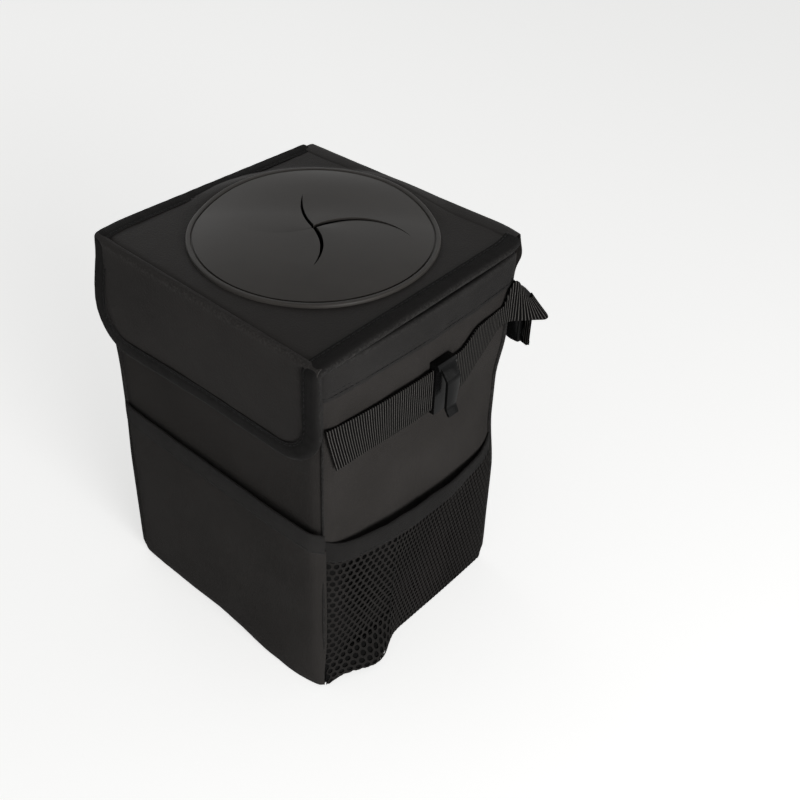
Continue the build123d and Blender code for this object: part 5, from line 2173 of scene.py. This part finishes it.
@dataclass
class Fittings(SubAssembly):
    """The moulded buckle and hooks with softened edges, and the hidden bottom board."""

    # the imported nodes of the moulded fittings, with what they ride on
    moulded: tuple[tuple[str, Body], ...] = (
        ("buckle_socket", Body.BIN),
        ("buckle_plug", Body.BIN),
        ("left_hook", Body.LEFT_HOOK),
        ("right_hook", Body.RIGHT_HOOK),
    )
    edge: float = 0.35 * MM  # radius of their softened edges
    flat_angle: float = 1.0  # degrees: faces that meet more flatly are merged
    sharp_angle: float = 40.0  # degrees: edges that are sharper are softened
    crease: float = 35.0  # degrees: edges that are sharper stay crisp

    def mould(self, node: str, body: Body) -> None:
        """Soften the edges of a copy of a packed fitting.

        Args:
            node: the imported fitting.
            body: what it rides on.
        """
        piece = Piece.linked(f"{node}_moulding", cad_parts[node].data.copy()).closed()
        piece.edit(lambda: bpy.ops.mesh.dissolve_limited(angle_limit=math.radians(self.flat_angle)))
        sharp = math.radians(self.sharp_angle)
        piece.modified("BEVEL", width=self.edge, segments=2, limit_method="ANGLE", angle_limit=sharp)
        self.finish(piece.flat_uv(1, 2).smooth(self.crease), MOULDED_PLASTIC)
        piece.rides(body, node)

    def build(self) -> None:
        """Make the fittings and finish the bottom board."""
        for node, body in self.moulded:
            self.mould(node, body)
        coat_with(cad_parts["bottom_board"], self.shop.materials[STIFF_BOARD.name])


@dataclass(frozen=True)
class Lamp:
    """A soft lamp: its name, where it stands, its size and its power."""

    name: str
    place: Triple
    size: float
    power: float

    def light(self, target: Vector) -> None:
        """Add the lamp, turned to the target."""
        data = bpy.data.lights.new(self.name, "AREA")
        data.shape = "DISK"
        data.size = self.size
        data.energy = self.power
        lamp = bpy.data.objects.new(self.name, data)
        lamp.location = self.place
        lamp.rotation_euler = (target - Vector(self.place)).to_track_quat("-Z", "Y").to_euler()
        bpy.context.scene.collection.objects.link(lamp)


@dataclass
class Studio:
    """The pale floor, the soft light and the camera."""

    azimuth: float = 39.88  # the camera's direction round the bin, in degrees
    elevation: float = 38.31  # its height above the horizon, in degrees
    roll: float = 2.52  # its turn about its own line of sight, in degrees
    place: Triple = (0.46690, -0.45902, 0.67424)  # where it stands
    lens: float = 51.84  # its focal length in millimetres
    floor_size: float = 12.0  # side of the floor
    floor_height: float = -0.4 * MM  # height of the floor, just under the base
    floor_glow: float = 0.6  # how much the floor shines to the camera
    fill: float = 0.2  # strength of the even light
    # the soft lamps
    lamps: tuple[Lamp, ...] = (
        Lamp("key_lamp", (1.55, -0.45, 0.3), 1.0, 30.0),
        Lamp("left_lamp", (-1.3, 0.3, 0.9), 1.0, 1.2),
    )
    target: float = 0.16  # the height on the bin's axis that they are turned to

    def build(self) -> None:
        """Set up the floor, world, lamps and camera."""
        self.lay_floor()
        self.light_world()
        for lamp in self.lamps:
            lamp.light(Vector((0, 0, self.target)))
        self.set_camera()
        bpy.context.scene.view_settings.view_transform = "Standard"

    @staticmethod
    def seen(board: Board) -> Socket:
        """Return 1 for rays from the camera, mirrors and glass, which see the background."""
        ray = board.add("LightPath")
        mirror = board.math("MAXIMUM", ray.outputs["Is Glossy Ray"], ray.outputs["Is Transmission Ray"])
        return board.math("MAXIMUM", ray.outputs["Is Camera Ray"], mirror)

    def lay_floor(self) -> None:
        """Lay a pale floor that is white where no shadow falls."""
        plane = {"size": self.floor_size, "location": (0, 0, self.floor_height)}
        floor = Piece.added("studio_floor", bpy.ops.mesh.primitive_plane_add, **plane).obj
        material = bpy.data.materials.new("pale_floor")
        material.use_nodes = True
        board = Board(material.node_tree)
        glow = board.math("MULTIPLY", board.add("LightPath").outputs["Is Camera Ray"], self.floor_glow)
        shader = board.add(
            "BsdfPrincipled",
            {
                "Base Color": rgba((0.86, 0.86, 0.855)),
                "Roughness": 0.9,
                "Specular IOR Level": 0.0,
                "Emission Color": rgba((1.0, 1.0, 0.992)),
                "Emission Strength": glow,
            },
        )
        board.add("OutputMaterial", {"Surface": shader.outputs[0]})
        floor.data.materials.append(material)

    def light_world(self) -> None:
        """Light the scene evenly and show white behind it."""
        world = bpy.data.worlds.new("studio")
        bpy.context.scene.world = world
        world.use_nodes = True
        board = Board(world.node_tree)
        strength = board.spread(self.seen(board), self.fill, 1.0)
        sky = board.add("Background", {"Color": rgba((1.0, 1.0, 0.995)), "Strength": strength})
        board.add("OutputWorld", {"Surface": sky.outputs[0]})

    def set_camera(self) -> None:
        """Stand the camera where the photograph was taken."""
        around, above = math.radians(self.azimuth), math.radians(self.elevation)
        level = math.cos(above)
        back = Vector((math.sin(around) * level, -math.cos(around) * level, math.sin(above)))
        turn = Quaternion((0, 0, 1), math.radians(self.roll))
        data = bpy.data.cameras.new("studio_camera")
        data.lens = self.lens
        data.sensor_width = 36.0
        data.clip_start = 0.01
        camera = bpy.data.objects.new("studio_camera", data)
        camera.location = self.place
        camera.rotation_mode = "QUATERNION"
        camera.rotation_quaternion = (-back).to_track_quat("-Z", "Y") @ turn
        bpy.context.scene.collection.objects.link(camera)
        bpy.context.scene.camera = camera


FINISHES = (
    OUTER_CLOTH, COATED_CLOTH, LINING_FILM, BINDING_TAPE, HEM_TAPE_PAINTED_LIGHTER, PAINTED_SHADE_CLOTH, OPEN_MESH, WEBBING,
    MOULDED_PLASTIC, SOFT_RUBBER, CLOSURE_TAPE, STIFF_BOARD, THREAD,
)


def main() -> None:
    """Build the studio and every sub-assembly in order."""
    logging.basicConfig(level=logging.INFO, format="%(name)s: %(message)s")
    shared = SharedEffects()
    materials = {finish.name: finish.material(shared) for finish in FINISHES}
    shop = Workshop(BinForm.measured(), materials)
    parts = [kind(shop) for kind in (Walls, Boards, RimAndWelts, Liner, FrontPocket)]
    parts += [MeshPocket(shop, side) for side in Side]
    parts += [kind(shop) for kind in (Webbing, Lid, RubberInsert, Flap, Closure, Fittings)]
    Studio().build()
    for part in parts:
        part.build()


if __name__ == "__main__":
    main()
